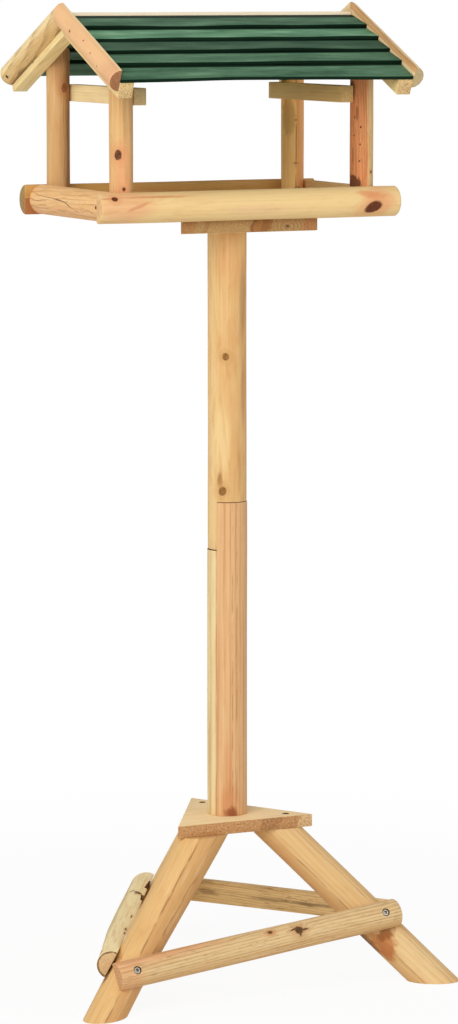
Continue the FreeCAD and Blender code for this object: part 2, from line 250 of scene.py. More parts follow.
# what a piece of fir is given, by height along the piece and degrees round it, its own marks and some painted
# shade and light:
# knots have height, degrees, half height, half width and tilt
# tints and patches have tone and amount before the tilt
# zones have degrees, offset, softness, tone and amount
# seams have degrees, half width, waver and amount
# endBands have start, end, tone and amount, endRim has radius and amount
knotTones = Look(core=(0.05, 0.015, 0.006), rim=(0.2, 0.065, 0.02), halo=(0.6, 0.235, 0.085))
firLook = Look(
    sap=(0.78, 0.54, 0.25), heart=(0.72, 0.365, 0.16), late=(0.56, 0.27, 0.085), pith=(0.003, 0.002),
    heartRadius=0.009, heartSoft=0.006, spacing=0.0032, ringDark=0.42, taper=0.012, wander=0.01, blush=0.3,
    ringSteps=[(0, 0), (0.5, 0.06), (0.82, 0.75), (0.93, 1), (1, 0)], ringSway=0.7,
    streak=0.34, mottle=0.3, fibre=0.25, fleck=0.0, rough=0.58, shine=0.25, bump=0.35,
    knots=[], knotTones=knotTones, ragged=0.45, haloBend=0.005, haloTone=0.55, zones=[], seams=[],
    tints=[], tintSoft=(0.4, 1.15), patches=[], patchSoft=(0.4, 1.15),
    endTone=(0.46, 0.25, 0.1), endMix=0.45, pores=0.3, endRim=(1.0, 0.0), endBands=[], eye=None)
grainTones = Look(
    seam=(0.26, 0.1, 0.03), eyeRing=(0.24, 0.105, 0.032), pith=(0.055, 0.022, 0.008), rim=(0.17, 0.085, 0.03))
# tone of each mark in the grain, and the noise at which it starts and is full
grainMarks = Look(
    streakDark=((0.5, 0.25, 0.085), 0.52, 0.8), streakPale=((0.93, 0.76, 0.48), 0.46, 0.2),
    fibre=((0.42, 0.22, 0.08), 0.55, 0.85), fleck=((0.28, 0.15, 0.055), 0.55, 0.66),
    mottle=((0.8, 0.66, 0.5), 0.48, 0.72), poreDark=((0.22, 0.09, 0.03), 0.48, 0.68),
    porePale=((0.85, 0.62, 0.34), 0.46, 0.3))
# scale across and along the grain, step of the seed, detail and roughness of each noise
grainNoise = Look(
    wander=((11, 11, 3.2), 0, 2, 0.55), fibre=((1300, 1300, 22), 1, 3, 0.65),
    streak=((330, 330, 5), 2, 3, 0.6), ring=((90, 90, 9), 3, 3, 0.55), blotch=((34, 34, 9), 4, 3, 0.6),
    waver=((60, 60, 12), 5, 3, 0.55), band=((150, 60, 60), 5, 3, 0.55), grit=((420, 420, 420), 6, 2, 0.55),
    pores=((460, 460, 380), 7, 3, 0.7), seam=((40, 40, 26), 8, 3, 0.55), knot=((300, 300, 220), 9, 2, 0.55),
    mottle=((150, 150, 24), 10, 4, 0.65), fleck=((620, 620, 55), 12, 4, 0.7),
    patch=((260, 260, 120), 13, 3, 0.65), wash=((60, 60, 13), 0, 4, 0.62),
    stainFibre=((700, 700, 14), 1, 4, 0.65))


def grainPlace():
    return addNode("ShaderNodeAttribute", attribute_name="grain").outputs["Vector"]


def grainCloud(place, key, seed, output=0):
    scale, step, detail, rough = grainNoise[key]
    return cloud(place, scale, seed + step, detail, rough, output)


def grainMark(color, key, value, amount, mode="MIX"):
    tone, low, high = grainMarks[key]
    return layer(color, tone, value, low, high, 0, amount, mode)


def sway(place, key, seed):
    # noise to both sides of zero
    return calc("SUBTRACT", grainCloud(place, key, seed), 0.5)


def spotReach(place, height, degrees, tall, wide, tilt=0):
    # distance from a spot on the round side: 1 at its rim, and far off on the other side of the piece
    c, s = turnTo(degrees)
    lift, lean = turnTo(tilt)
    rise = measure(place, (-s * lean / tall, c * lean / tall, lift / tall))
    aside = measure(place, (-s * lift / wide, c * lift / wide, -lean / wide))
    flat = addNode("ShaderNodeCombineXYZ", {0: calc("SUBTRACT", rise, height * lift / tall),
                                            1: calc("ADD", aside, height * lean / wide)})
    behind = calc("LESS_THAN", measure(place, (c, s, 0)), -0.002)
    farOff = 9.0
    return push(calcVector("LENGTH", flat.outputs[0]), behind, farOff)


def knotMarks(place, look, seed):
    core, halo = 0.0, 0.0
    ragged = sway(place, "knot", seed)
    for knot in look.knots:
        reach = push(spotReach(place, *knot), ragged, look.ragged)
        core = calc("MAXIMUM", core, fade(reach, 0.75, 1.1, 1, 0))
        halo = calc("MAXIMUM", halo, fade(reach, 0.8, 3.0, 1, 0))
    return core, halo


def spotColor(place, color, spots, ragged, soft):
    for height, degrees, tall, wide, tone, amount, *tilt in spots:
        reach = calc("ADD", spotReach(place, height, degrees, tall, wide, *tilt), ragged)
        color = layer(color, tone, reach, *soft, amount, 0)
    return color


def zoneColor(place, color, look, waver):
    # soft tints, and parts of the width with a tone of their own, under the grain; some of them are painted
    # shade and light on one side of a piece
    color = spotColor(place, color, look.tints, waver, look.tintSoft)
    for degrees, offset, soft, tone, amount in look.zones:
        side = push(measure(place, (*turnTo(degrees), 0)), waver, 0.008)
        color = layer(color, tone, side, offset - soft, offset + soft, 0, amount)
    return color


def markColor(place, color, look, waver, seed):
    # the piece's patches, its own stains and some painted shadows cast by other parts, and lengthwise lines,
    # over the grain
    ragged = push(waver, sway(place, "patch", seed), 1.1)
    color = spotColor(place, color, look.patches, ragged, look.patchSoft)
    for degrees, half, wobble, amount in look.seams:
        c, s = turnTo(degrees)
        aside = push(measure(place, (-s, c, 0)), waver, wobble)
        front = calc("GREATER_THAN", measure(place, (c, s, 0)), 0.0)
        line = fade(calc("ABSOLUTE", aside), half * 0.3, half * 1.7, amount, 0)
        # the line comes and goes along the piece
        breaks = fade(grainCloud(place, "seam", seed + degrees), 0.4, 0.58)
        share = times(times(front, line), breaks)
        color = mixColor(share, color, (*grainTones.seam, 1))
    return color


def bandColor(place, color, bands, seed, soft=0.0015):
    # bands across a piece, leaning a little
    along = push(measure(place, (-0.35, 0, 1)), sway(place, "band", seed), 0.01)
    for low, high, tone, amount in bands:
        inside = times(fade(along, low - soft, low + soft),
                       fade(along, high - soft, high + soft, amount, 0))
        color = mixColor(inside, color, (*tone, 1))
    return color


def eyeColor(place, color, eye, waver):
    # rings round the pith on the cut edge of a plate
    away = calcVector("SUBTRACT", place, (eye.height, 0, eye.along))
    away = farOut(away, (1, 0, eye.squash))
    turns = calc("DIVIDE", push(away, waver, 0.005), eye.spacing)
    line = fade(calc("FRACT", turns), 0.45, 0.9, 0, eye.dark)
    line = times(line, fade(away, eye.reach, eye.reach * 2, 1, 0.25))
    color = mixColor(line, color, (*grainTones.eyeRing, 1))
    return layer(color, grainTones.pith, away, 0.001, 0.0024, 0.9, 0)


def endColor(place, color, look, waver, mottle, seed):
    # what a sawn end shows besides the grain
    pores = grainCloud(place, "pores", seed)
    color = mixColor(look.endMix, color, (*look.endTone, 1))
    color = bandColor(place, color, look.endBands, seed)
    if look.eye:
        color = eyeColor(place, color, look.eye, waver)
    radius, amount = look.endRim
    out = push(farOut(place, (1, 1, 0)), calc("SUBTRACT", mottle, 0.5), 0.004)
    color = layer(color, grainTones.rim, out, radius - 0.0012, radius, 0, amount)
    color = grainMark(color, "poreDark", pores, look.pores)
    return grainMark(color, "porePale", pores, look.pores * 0.7)


def woodFinish(shader, color, fibre, rough, shine, normal):
    setInputs(shader, {"Base Color": color, "Roughness": push(rough, fibre, 0.2),
                       "Specular IOR Level": shine, "Normal": normal})


def firMaterial(name, look, seed, endCut=False):
    look = Look(firLook, **look)
    material, shader = newMaterial(name)
    place = grainPlace()
    wander = calcVector("SUBTRACT", grainCloud(place, "wander", seed, 1), (0.5, 0.5, 0.5))
    wander = calcVector("MULTIPLY", wander, (look.wander * 2, look.wander * 2, 0))
    bent = calcVector("SUBTRACT", calcVector("ADD", place, wander), (*look.pith, 0))
    reach = farOut(bent, (1, 1, 0))
    knotShare, haloShare = knotMarks(place, look, seed)
    fibre, streak, blotch, mottle, fleck, grit = [
        grainCloud(place, key, seed) for key in ("fibre", "streak", "blotch", "mottle", "fleck", "grit")]
    waver = sway(place, "waver", seed)

    # growth rings, bent round the knots
    ringPlace = calc("ADD", reach, measure(place, (0, 0, look.taper)))
    ringPlace = calc("DIVIDE", push(ringPlace, haloShare, look.haloBend), look.spacing)
    ringPlace = push(ringPlace, grainCloud(place, "ring", seed), look.ringSway)
    ring = ramp(calc("FRACT", ringPlace), look.ringSteps)

    # heartwood in the sapwood, then the grain over both
    radius, soft = look.heartRadius, look.heartSoft
    edge = push(reach, calc("SUBTRACT", streak, 0.5), soft)
    inner = fade(edge, radius - soft, radius + soft, 1, 0)
    inner = calc("ADD", inner, times(fade(blotch, 0.45, 0.72), look.blush), True)
    color = mixColor(inner, (*look.sap, 1), (*look.heart, 1))
    color = zoneColor(place, color, look, waver)
    ringAmount = times(ring, times(fade(streak, 0.25, 0.7), look.ringDark))
    color = mixColor(ringAmount, color, (*look.late, 1))
    color = grainMark(color, "streakDark", streak, look.streak)
    color = grainMark(color, "streakPale", streak, look.streak)
    color = grainMark(color, "fibre", fibre, look.fibre)
    color = grainMark(color, "fleck", fleck, look.fleck)
    color = grainMark(color, "mottle", mottle, look.mottle, "MULTIPLY")
    color = markColor(place, color, look, waver, seed)
    core, rim, halo = [(*look.knotTones[key], 1) for key in ("core", "rim", "halo")]
    color = mixColor(times(haloShare, look.haloTone), color, halo)
    color = mixColor(knotShare, color, mixColor(fade(grit, 0.3, 0.7), core, rim))
    if endCut:
        color = endColor(place, color, look, waver, mottle, seed)
    height = calc("SUBTRACT", times(fibre, 0.5), times(ring, 0.35))
    height = calc("SUBTRACT", height, times(knotShare, 0.8))
    woodFinish(shader, color, fibre, look.rough, look.shine, addBump(height, look.bump))
    return material


def plainMaterial(name, color, rough, metal=0.0, speckle=0.25, scale=900):
    material, shader = newMaterial(name)
    place = addNode("ShaderNodeTexCoord").outputs["Object"]
    grit = cloud(place, (scale, scale, scale), 2, 3)
    dark = [part * (1 - speckle) for part in color]
    tone = mixColor(fade(grit, 0.35, 0.65), (*dark, 1), (*color, 1))
    setInputs(shader, {"Base Color": tone, "Metallic": metal,
                       "Roughness": fade(grit, 0.3, 0.7, rough - 0.08, rough + 0.08)})
    return material


stainLook = Look(
    deep=(0.031, 0.078, 0.043), mid=(0.064, 0.14, 0.079), light=(0.13, 0.242, 0.142), rough=0.62, shine=0.12,
    # the near-black green on the board edges, and how fully it covers them: painted shade over the green
    # stain
    bump=0.4, edge=(0.0022, 0.0115, 0.0052), edgeFull=0.95, edgeShine=0.05)


def stainMaterial(name, seed, tone, band=None):
    # with a band, the top face gets painted shade along its head; without one it is an edge, stained green
    # and darkened all over with painted shade
    material, shader = newMaterial(name)
    place = grainPlace()
    wash = grainCloud(place, "wash", seed)
    fibre = grainCloud(place, "stainFibre", seed)
    deep, mid, light = [tuple(part * tone for part in stainLook[key]) for key in ("deep", "mid", "light")]
    color = mixColor(fade(wash, 0.3, 0.54), (*deep, 1), (*mid, 1))
    color = layer(color, light, wash, 0.5, 0.78, 0, 1)
    color = layer(color, deep, fibre, 0.52, 0.8, 0, 0.55)
    color = layer(color, light, fibre, 0.44, 0.2, 0, 0.45)
    full = stainLook.edgeFull
    rim = fade(measure(place, (1, 0, 0)), *band, full, 0) if band else full
    color = mixColor(rim, color, (*stainLook.edge, 1))
    shine = stainLook.shine if band else stainLook.edgeShine
    woodFinish(shader, color, fibre, stainLook.rough, shine, addBump(fibre, stainLook.bump))
    return material


# the dark walls of holes and cuts are painted shade
shadedCutWall = plainMaterial("shadedCutWall", (0.075, 0.038, 0.018), 0.85)
splitWall = plainMaterial("splitWall", (0.25, 0.115, 0.042), 0.85)
steel = plainMaterial("screwSteel", (0.42, 0.38, 0.32), 0.38, 1.0, 0.35, 1400)
zincSteel = plainMaterial("zincSteel", (0.52, 0.34, 0.14), 0.5, 0.3, 0.3, 1400)
# the near-black walls of the screw recesses are painted shade
recessShade = plainMaterial("recessShade", (0.035, 0.033, 0.032), 0.6, 0.6, 0.3, 1400)
nailSteel = plainMaterial("nailSteel", (0.16, 0.15, 0.15), 0.55, 1.0, 0.4, 1400)


# woodwork: every piece is shaped in its own frame, grain along z, and then put in its place
def pieceFrame(origin, along, across):
    z = Vector(along).normalized()
    x = Vector(across) - z * Vector(across).dot(z)
    x.normalize()
    y = z.cross(x)
    turned = Matrix((x, y, z)).transposed().to_4x4()
    return Matrix.Translation(origin) @ turned


def toPlace(bm, where):
    bmesh.ops.transform(bm, matrix=where, verts=bm.verts)


def cutEdges(bm, axis, least, cuts):
    # cut the edges that run along one axis
    run = [e for e in bm.edges if abs(e.verts[0].co[axis] - e.verts[1].co[axis]) > least]
    bmesh.ops.subdivide_edges(bm, edges=run, cuts=cuts, use_grid_fill=True)


def logBlank(length, radius, seed, rough, sides, rings, start=0.0):
    bm = bmesh.new()
    bmesh.ops.create_cone(bm, cap_ends=True, segments=sides, radius1=radius, radius2=radius, depth=length)
    bmesh.ops.translate(bm, verts=bm.verts, vec=(0, 0, length / 2 + start))
    cutEdges(bm, 2, length / 2, rings)
    across, along = 28, 7  # slow swellings round the log
    shift = Vector((seed * 1.7, seed * 2.3, seed * 0.9))
    for v in bm.verts:
        out = Vector((v.co.x, v.co.y, 0))
        if out.length > 1e-6:
            spot = Vector((v.co.x * across, v.co.y * across, v.co.z * along)) + shift
            v.co += out.normalized() * noise.noise(spot) * rough
    return bm


def plankBlank(length, wide, thick, rings=24, strips=4):
    # length on z, width on x, thickness on y, from the middle
    bm = bmesh.new()
    bmesh.ops.create_cube(bm, size=1)
    bmesh.ops.scale(bm, verts=bm.verts, vec=(wide, thick, length))
    cutEdges(bm, 2, length / 2, rings)
    cutEdges(bm, 0, wide / 2, strips)
    return bm


def saw(bm, point, normal, slot=1):
    # cut off what lies beyond the plane and close the cut
    everything = bm.verts[:] + bm.edges[:] + bm.faces[:]
    cut = bmesh.ops.bisect_plane(bm, geom=everything, dist=1e-6, plane_co=point, plane_no=normal,
                                 clear_outer=True)
    rim = [part for part in cut["geom_cut"] if isinstance(part, bmesh.types.BMVert)]
    bmesh.ops.remove_doubles(bm, verts=rim, dist=0.0003)
    openEdges = [e for e in bm.edges if e.is_boundary]
    for face in bmesh.ops.holes_fill(bm, edges=openEdges, sides=0)["faces"]:
        face.material_index = slot
    bmesh.ops.recalc_face_normals(bm, faces=bm.faces)


def markEnds(bm):
    bm.normal_update()
    for face in bm.faces:
        if abs(face.normal.z) > 0.75:
            face.material_index = 1


def bevelEdges(bm, edges, size, segments):
    bmesh.ops.bevel(bm, geom=edges, offset=size, segments=segments, profile=0.5, affect="EDGES", material=-1,
                    clamp_overlap=True)


def roundEnds(bm, low, high):
    # round over the rims at the foot and the head of a piece, each by its own size
    bm.normal_update()
    for size, sign in ((low, -1), (high, 1)):
        caps = {face for face in bm.faces if face.normal.z * sign > 0.9}
        rim = [e for e in bm.edges if len([face for face in e.link_faces if face in caps]) == 1]
        bevelEdges(bm, rim, size, 4)


def halve(bm, low, high):
    # half a log with its ends rounded, and the same finish on its flat side
    saw(bm, (0, 0, 0), (0, -1, 0), slot=0)
    markEnds(bm)
    roundEnds(bm, low, high)


def easeEdges(bm, size, angle=50, segments=2):
    sharp = [e for e in bm.edges if e.is_manifold and e.calc_face_angle(0) > math.radians(angle)]
    bevelEdges(bm, sharp, size, segments)


def rising(value, start, over):
    return min(max((value - start) / over, 0), 1)


def carve(piece, cutters):
    # the cutters' walls go to the third material
    cutter = addObject("cutter", meshOf("cutter", cutters))
    for _ in range(3):
        cutter.data.materials.append(None)
    for face in cutter.data.polygons:
        face.material_index = 2
    step = piece.modifiers.new("carve", "BOOLEAN")
    step.operation = "DIFFERENCE"
    step.solver = "EXACT"
    step.material_mode = "INDEX"
    step.object = cutter
    carved = bpy.data.meshes.new_from_object(piece.evaluated_get(bpy.context.evaluated_depsgraph_get()))
    piece.modifiers.clear()
    piece.data = carved
    bpy.data.objects.remove(cutter)


def addPiece(node, ending, bm, where, materials, cutters=None, smooth=35):
    bmesh.ops.recalc_face_normals(bm, faces=bm.faces)
    piece = addObject(node + ending, meshOf(node + ending, bm))
    for _ in materials:
        piece.data.materials.append(shadedCutWall)
    if cutters is not None:
        carve(piece, cutters)
    mesh = piece.data
    mesh.name = node + ending
    back = where.inverted()
    grain = mesh.attributes.new("grain", "FLOAT_VECTOR", "POINT")
    grain.data.foreach_set("vector", [part for v in mesh.vertices for part in back @ v.co])
    for number, material in enumerate(materials):
        mesh.materials[number] = material
    mesh.polygons.foreach_set("use_smooth", [True] * len(mesh.polygons))
    mesh.set_sharp_from_angle(angle=math.radians(smooth))
    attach(piece, "root")
    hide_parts(node)


def firPiece(node, bm, where, look, seed, cutters=None, placed=False):
    if not placed:
        toPlace(bm, where)
    woods = [firMaterial(node + "Fir", look, seed), firMaterial(node + "End", look, seed, True),
             look.get("wall", shadedCutWall)]
    addPiece(node, "_wood", bm, where, woods, cutters)


def facing(point, out):
    # a spot whose +z points out of the wood
    return Matrix.Translation(point) @ Vector(out).to_track_quat("Z", "Y").to_matrix().to_4x4()


def crackCutter(bm, where, radius, path, wide, deep):
    # a wedge along a path of heights and angles on a log, widest in the middle, its thin edge in the wood
    last = len(path) - 1
    turned = where.to_3x3()
    mouth = 0.002
    outs = [turned @ Vector((*turnTo(degrees), 0)) for _, degrees in path]
    points = [where @ Vector((0, 0, height)) + out * radius for (height, _), out in zip(path, outs)]
    rows = []
    for number, (point, out) in enumerate(zip(points, outs)):
        ahead = points[min(number + 1, last)] - points[max(number - 1, 0)]
        side = ahead.cross(out).normalized()
        share = 0.2 + 0.8 * math.sin(math.pi * (number + 0.35) / (last + 0.7))
        rows.append([point + out * mouth + side * wide * share, point + out * mouth - side * wide * share,
                     point - out * deep * share])
    face = bm.faces.new([bm.verts.new(p) for p in rows[0]])
    for row in rows[1:]:
        grown = bmesh.ops.extrude_face_region(bm, geom=[face])["geom"]
        face = [part for part in grown if isinstance(part, bmesh.types.BMFace)][0]
        for v, p in zip(face.verts, row):
            v.co = p
    bmesh.ops.recalc_face_normals(bm, faces=bm.faces)


woodScrew = Look(metal=steel, headRadius=0.0038, headDeep=0.003, shankRadius=0.002, recessLong=0.0048,
                 recessWide=0.003, recessDeep=0.0026)
zincScrew = Look(woodScrew, metal=zincSteel)
nail = Look(metal=nailSteel, headRadius=0.0021, headDeep=0.0012, shankRadius=0.0012)
pin = Look(metal=nailSteel, headRadius=0.0012, headDeep=0.0008, shankRadius=0.0007)
# length of each set, how deep the heads sit, and radius, depth and mouth of the holes
fixings = Look(
    brace_screws=Look(kind=woodScrew, long=0.034, sink=0.001, hole=(0.005, 0.0034, 0.006)),
    leg_screws=Look(kind=woodScrew, long=0.045, sink=0.0014, hole=(0.0044, 0.003, 0.003)),
    pole_foot_screws=Look(kind=woodScrew, long=0.06, sink=0.0004),
    lap_screws=Look(kind=woodScrew, long=0.036, sink=0.001, hole=(0.0043, 0.0032, 0.006)),
    pole_head_screws=Look(kind=woodScrew, long=0.06, sink=0.0004),
    tray_plate_screws=Look(kind=woodScrew, long=0.022, sink=0.0004, hole=(0.0042, 0.003, 0.002)),
    tray_nails=Look(kind=nail, long=0.03, sink=0.0012, hole=(0.0023, 0.0016, 0.01)),
    post_screws=Look(kind=zincScrew, long=0.038, sink=0.0003, hole=(0.0042, 0.003, 0.006)),
    tie_screws=Look(kind=zincScrew, long=0.032, sink=0.0004),
    rafter_screws=Look(kind=zincScrew, long=0.032),
    barge_nails=Look(kind=nail, long=0.026, sink=0.0018, hole=(0.0022, 0.0012, 0.008)),
    roof_pins=Look(kind=pin, long=0.01175, sink=-0.0001))


def lathe(profile, steps=28):
    bm = bmesh.new()
    points = [bm.verts.new((radius, 0, height)) for radius, height in profile]
    edges = [bm.edges.new(pair) for pair in zip(points, points[1:])]
    bmesh.ops.spin(bm, geom=points + edges, axis=(0, 0, 1), cent=(0, 0, 0), angle=math.tau, steps=steps,
                   use_merge=True)
    bmesh.ops.remove_doubles(bm, verts=bm.verts, dist=1e-6)
    bmesh.ops.recalc_face_normals(bm, faces=bm.faces)
    return bm


def fastenerBlank(look, length):
    head, shank, deep = look.headRadius, look.shankRadius, look.headDeep
    # from the tip up to the middle of the head
    mesh = meshOf("fastener", lathe([
        (0, -length), (shank * 0.35, -length + shank * 0.6), (shank * 0.95, -length + shank * 3),
        (shank, -deep - 0.0005), (head * 0.97, -deep * 0.22), (head, -deep * 0.12), (head * 0.97, -0.00005),
        (head * 0.86, 0.0), (head * 0.45, 0.00005), (0, 0.00006)]))
    if "recessLong" not in look:
        return mesh
    blank = addObject("fastener", mesh)
    for turned in (0, math.pi / 2):
        slot = bmesh.new()
        bmesh.ops.create_cube(slot, size=1)
        bmesh.ops.scale(slot, verts=slot.verts,
                        vec=(look.recessLong, look.recessWide, look.recessDeep * 2))
        for v in slot.verts:
            if v.co.z < 0:
                v.co.x *= 0.55  # narrower at the bottom
        bmesh.ops.rotate(slot, verts=slot.verts, cent=(0, 0, 0), matrix=Matrix.Rotation(turned, 3, "Z"))
        carve(blank, slot)
    mesh = blank.data
    bpy.data.objects.remove(blank)
    return mesh


def addFasteners(node, spots):
    kind = fixings[node].kind
    master = fastenerBlank(kind, fixings[node].long)
    bm = bmesh.new()
    dice = random.Random(len(node))
    for spot in spots:
        before = len(bm.verts)
        bm.from_mesh(master)
        bm.verts.ensure_lookup_table()
        turned = spot @ Matrix.Rotation(dice.uniform(0, math.pi), 4, "Z")
        bmesh.ops.transform(bm, matrix=turned, verts=bm.verts[before:])
    metals = [kind.metal, kind.metal, recessShade]
    addPiece(node, "_metal", bm, Matrix.Identity(4), metals, smooth=40)


def drill(node, spots):
    # round holes with their mouths at the spots, +z out of the wood
    radius, depth, mouth = fixings[node].hole
    bm = bmesh.new()
    for spot in spots:
        made = bmesh.ops.create_cone(bm, cap_ends=True, segments=28, radius1=radius * 0.94, radius2=radius,
                                     depth=depth + mouth)
        bmesh.ops.translate(bm, verts=made["verts"], vec=(0, 0, (mouth - depth) / 2))
        bmesh.ops.transform(bm, matrix=spot, verts=made["verts"])
    return bm


legLook = Look(
    left=Look(
        angle=math.radians(-150), swell=0.17, lean=0.005, sap=(0.755, 0.47, 0.19), pith=(0.004, -0.004),
        heartRadius=0.012, ringDark=0.3,
        # the zone at 25 degrees darkens the right face: salmon-orange wood with painted shade
        zones=[(25, 0.008, 0.0007, (0.6, 0.315, 0.115), 0.65),
            (-155, 0.0205, 0.0005, (0.62, 0.44, 0.17), 0.5)],
        seams=[(-46, 0.001, 0.0085, 0.65), (-135, 0.0006, 0.006, 0.55), (-10, 0.0007, 0.02, 0.4)],
        # the dark narrow wedge beside the brace's end is a painted shadow under the brace
        patches=[(0.054, -118, 0.026, 0.006, (0.13, 0.05, 0.014), 0.9)]),
    right=Look(
        angle=math.radians(-30), swell=0.0, lean=0.0, sap=(0.73, 0.475, 0.21), pith=(-0.006, 0.008),
        heartRadius=0.012, ringDark=0.35,
        seams=[(-128, 0.0007, 0.01, 0.3), (-112, 0.0006, 0.006, 0.2), (166, 0.0007, 0.0085, 0.55)],
        zones=[(100, 0.01, 0.0008, (0.57, 0.335, 0.115), 0.45)],
        patchSoft=(0.45, 1.1),
        tints=[(0.03, -150, 0.06, 0.024, (0.84, 0.64, 0.345), 0.45)],
        patches=[(0.079, 157, 0.024, 0.016, (0.56, 0.23, 0.07), 0.85),
            (0.096, 112, 0.032, 0.013, (0.2, 0.075, 0.02), 0.85),
            (0.067, 152, 0.016, 0.011, (0.44, 0.14, 0.04), 0.85),
            (0.076, 166, 0.016, 0.013, (0.48, 0.18, 0.055), 0.85),
            # the last patch is a painted shadow line just under the brace's edge
            (0.084, -172, 0.009, 0.014, (0.27, 0.08, 0.012), 0.85)]),
    back=Look(angle=math.radians(90), swell=0.0, lean=0.0, pith=(0.004, 0.006), heartRadius=0.012))
legLog = Look(long=0.37, start=-0.05, rough=0.0007, ease=0.0008, swellFrom=0.07, swellOver=0.2,
              screwOut=0.0145)
# chip and split of the left brace: height and degrees along each, half width and depth
chip = Look(path=[(0.27, 166), (0.277, 150), (0.288, 128), (0.304, 96)], wide=0.003, deep=0.008)
split = Look(path=[(0.244, 177), (0.27, 176), (0.305, 176), (0.346, 177)], wide=0.004, deep=0.0075)
braceLook = Look(
    front=Look(
        angle=-90, swell=0.0, ends=(0.0715, 0.0385), over=(0.022, 0.022), round=(0.006, 0.002),
        sap=(0.74, 0.53, 0.27), heart=(0.71, 0.45, 0.2), pith=(0.026, 0.002), heartRadius=0.018,
        late=(0.4, 0.2, 0.07), spacing=0.0036, ringDark=0.8, wander=0.007, taper=0.012, streak=0.5,
        knots=[(0.1414, 100, 0.0058, 0.0054), (0.1475, 108, 0.006, 0.0012, -14),
            (0.1345, 98, 0.0065, 0.0013), (0.1412, 86, 0.0016, 0.004), (0.1783, 120, 0.0036, 0.0025)],
        knotTones=Look(core=(0.07, 0.032, 0.009), rim=(0.16, 0.07, 0.02), halo=(0.52, 0.26, 0.1)),
        fleck=0.55,
        tints=[(0.345, 138, 0.12, 0.013, (0.78, 0.38, 0.18), 0.75),
            (0.372, 85, 0.03, 0.03, (0.76, 0.38, 0.18), 0.6)],
        patches=[(0.1783, 120, 0.009, 0.007, (0.6, 0.26, 0.1), 0.6)]),
    left=Look(
        cracks=(chip, split), angle=150, swell=0.26, ends=(0.048, 0.055), over=(0.022, 0.022),
        round=(0.0012, 0.004), sap=(0.95, 0.78, 0.43), heart=(0.92, 0.67, 0.34), pith=(0.004, 0.002),
        ringDark=0.3, endTone=(0.56, 0.32, 0.14), endMix=0.7, endRim=(0.0152, 0.9), wall=splitWall,
        fleck=0.25,
        zones=[(88, 0.0192, 0.001, (0.42, 0.32, 0.14), 0.5)],
        knots=[(0.099, 170, 0.004, 0.0012), (0.082, 172, 0.004, 0.0008), (0.159, 170, 0.006, 0.0008)]),
    right=Look(
        angle=30, swell=0.0, ends=(0.057, 0.0675), over=(0.022, 0.01), round=(0.004, 0.004),
        sap=(0.86, 0.6, 0.275), heart=(0.8, 0.52, 0.21), late=(0.36, 0.19, 0.06), pith=(0.03, 0.001),
        heartRadius=0.02, spacing=0.0042, ringDark=0.8, taper=0.02, streak=0.5, fleck=0.65,
        patches=[(0.175, -104, 0.034, 0.004, (0.22, 0.12, 0.045), 0.55),
            (0.22, -118, 0.03, 0.003, (0.2, 0.11, 0.04), 0.55),
            (0.245, -98, 0.034, 0.004, (0.18, 0.1, 0.038), 0.6),
            (0.08, -128, 0.018, 0.006, (0.26, 0.15, 0.05), 0.6)]))
braceLog = Look(rough=0.0008, ease=0.0014, swellFrom=0.01, swellOver=0.12, flatter=0.8)
plateLook = Look(
    shift=0, ease=0.0009, along=(1, 0, 0), sap=(0.93, 0.7, 0.385), heart=(0.88, 0.61, 0.31),
    pith=(0.06, -0.05), spacing=0.006, ringDark=0.25, wander=0.006, endMix=0.85,
    endTone=(0.52, 0.245, 0.085), pores=0.6)
basePlateLook = Look(
    plateLook, endTone=(0.46, 0.195, 0.057), pores=0.75,
    endBands=[(0.018, 0.044, (0.34, 0.14, 0.045), 0.6), (0.068, 0.092, (0.8, 0.56, 0.28), 0.6)])
planeLean = math.atan(math.tan(stand.lean) / 2)
legSpread = math.asin(math.sin(stand.lean) * math.sin(math.radians(60)))


def makeLeg(name, look, seed):
    c, s = math.cos(look.angle), math.sin(look.angle)
    foot = Vector((c * footRadius, pole.y + s * footRadius, 0))
    rise = Vector((-c * math.sin(stand.lean), -s * math.sin(stand.lean), math.cos(stand.lean)))
    where = pieceFrame(foot, rise, (-s, c, 0))
    bm = logBlank(legLog.long, stand.legRadius, seed, legLog.rough, sides=48, rings=24, start=legLog.start)
    for v in bm.verts:
        # a log that thickens towards its top
        more = rising(v.co.z, legLog.swellFrom, legLog.swellOver)
        v.co.x = v.co.x * (1 + look.swell * more) + look.lean * more
        v.co.y *= 1 + look.swell * more
    toPlace(bm, where)
    saw(bm, (0, 0, 0), -up)
    saw(bm, (0, 0, plateUnder), up)
    easeEdges(bm, legLog.ease, angle=25, segments=1)
    firPiece("leg_" + name, bm, where, look, seed, placed=True)


def braceFrame(angle):
    turned = Matrix.Rotation(math.radians(angle - 90), 4, "Z") @ Matrix.Rotation(planeLean, 4, "X")
    return Matrix.Translation((0, pole.y, legApex)) @ turned


def braceCrossings(look):
    spots = []
    for sign, height in zip((-1, 1), look.ends):
        down = (legApex - height) / math.cos(stand.lean)
        spots.append(Vector((sign * down * math.sin(legSpread), stand.legRadius,
                             -down * math.cos(legSpread))))
    return spots


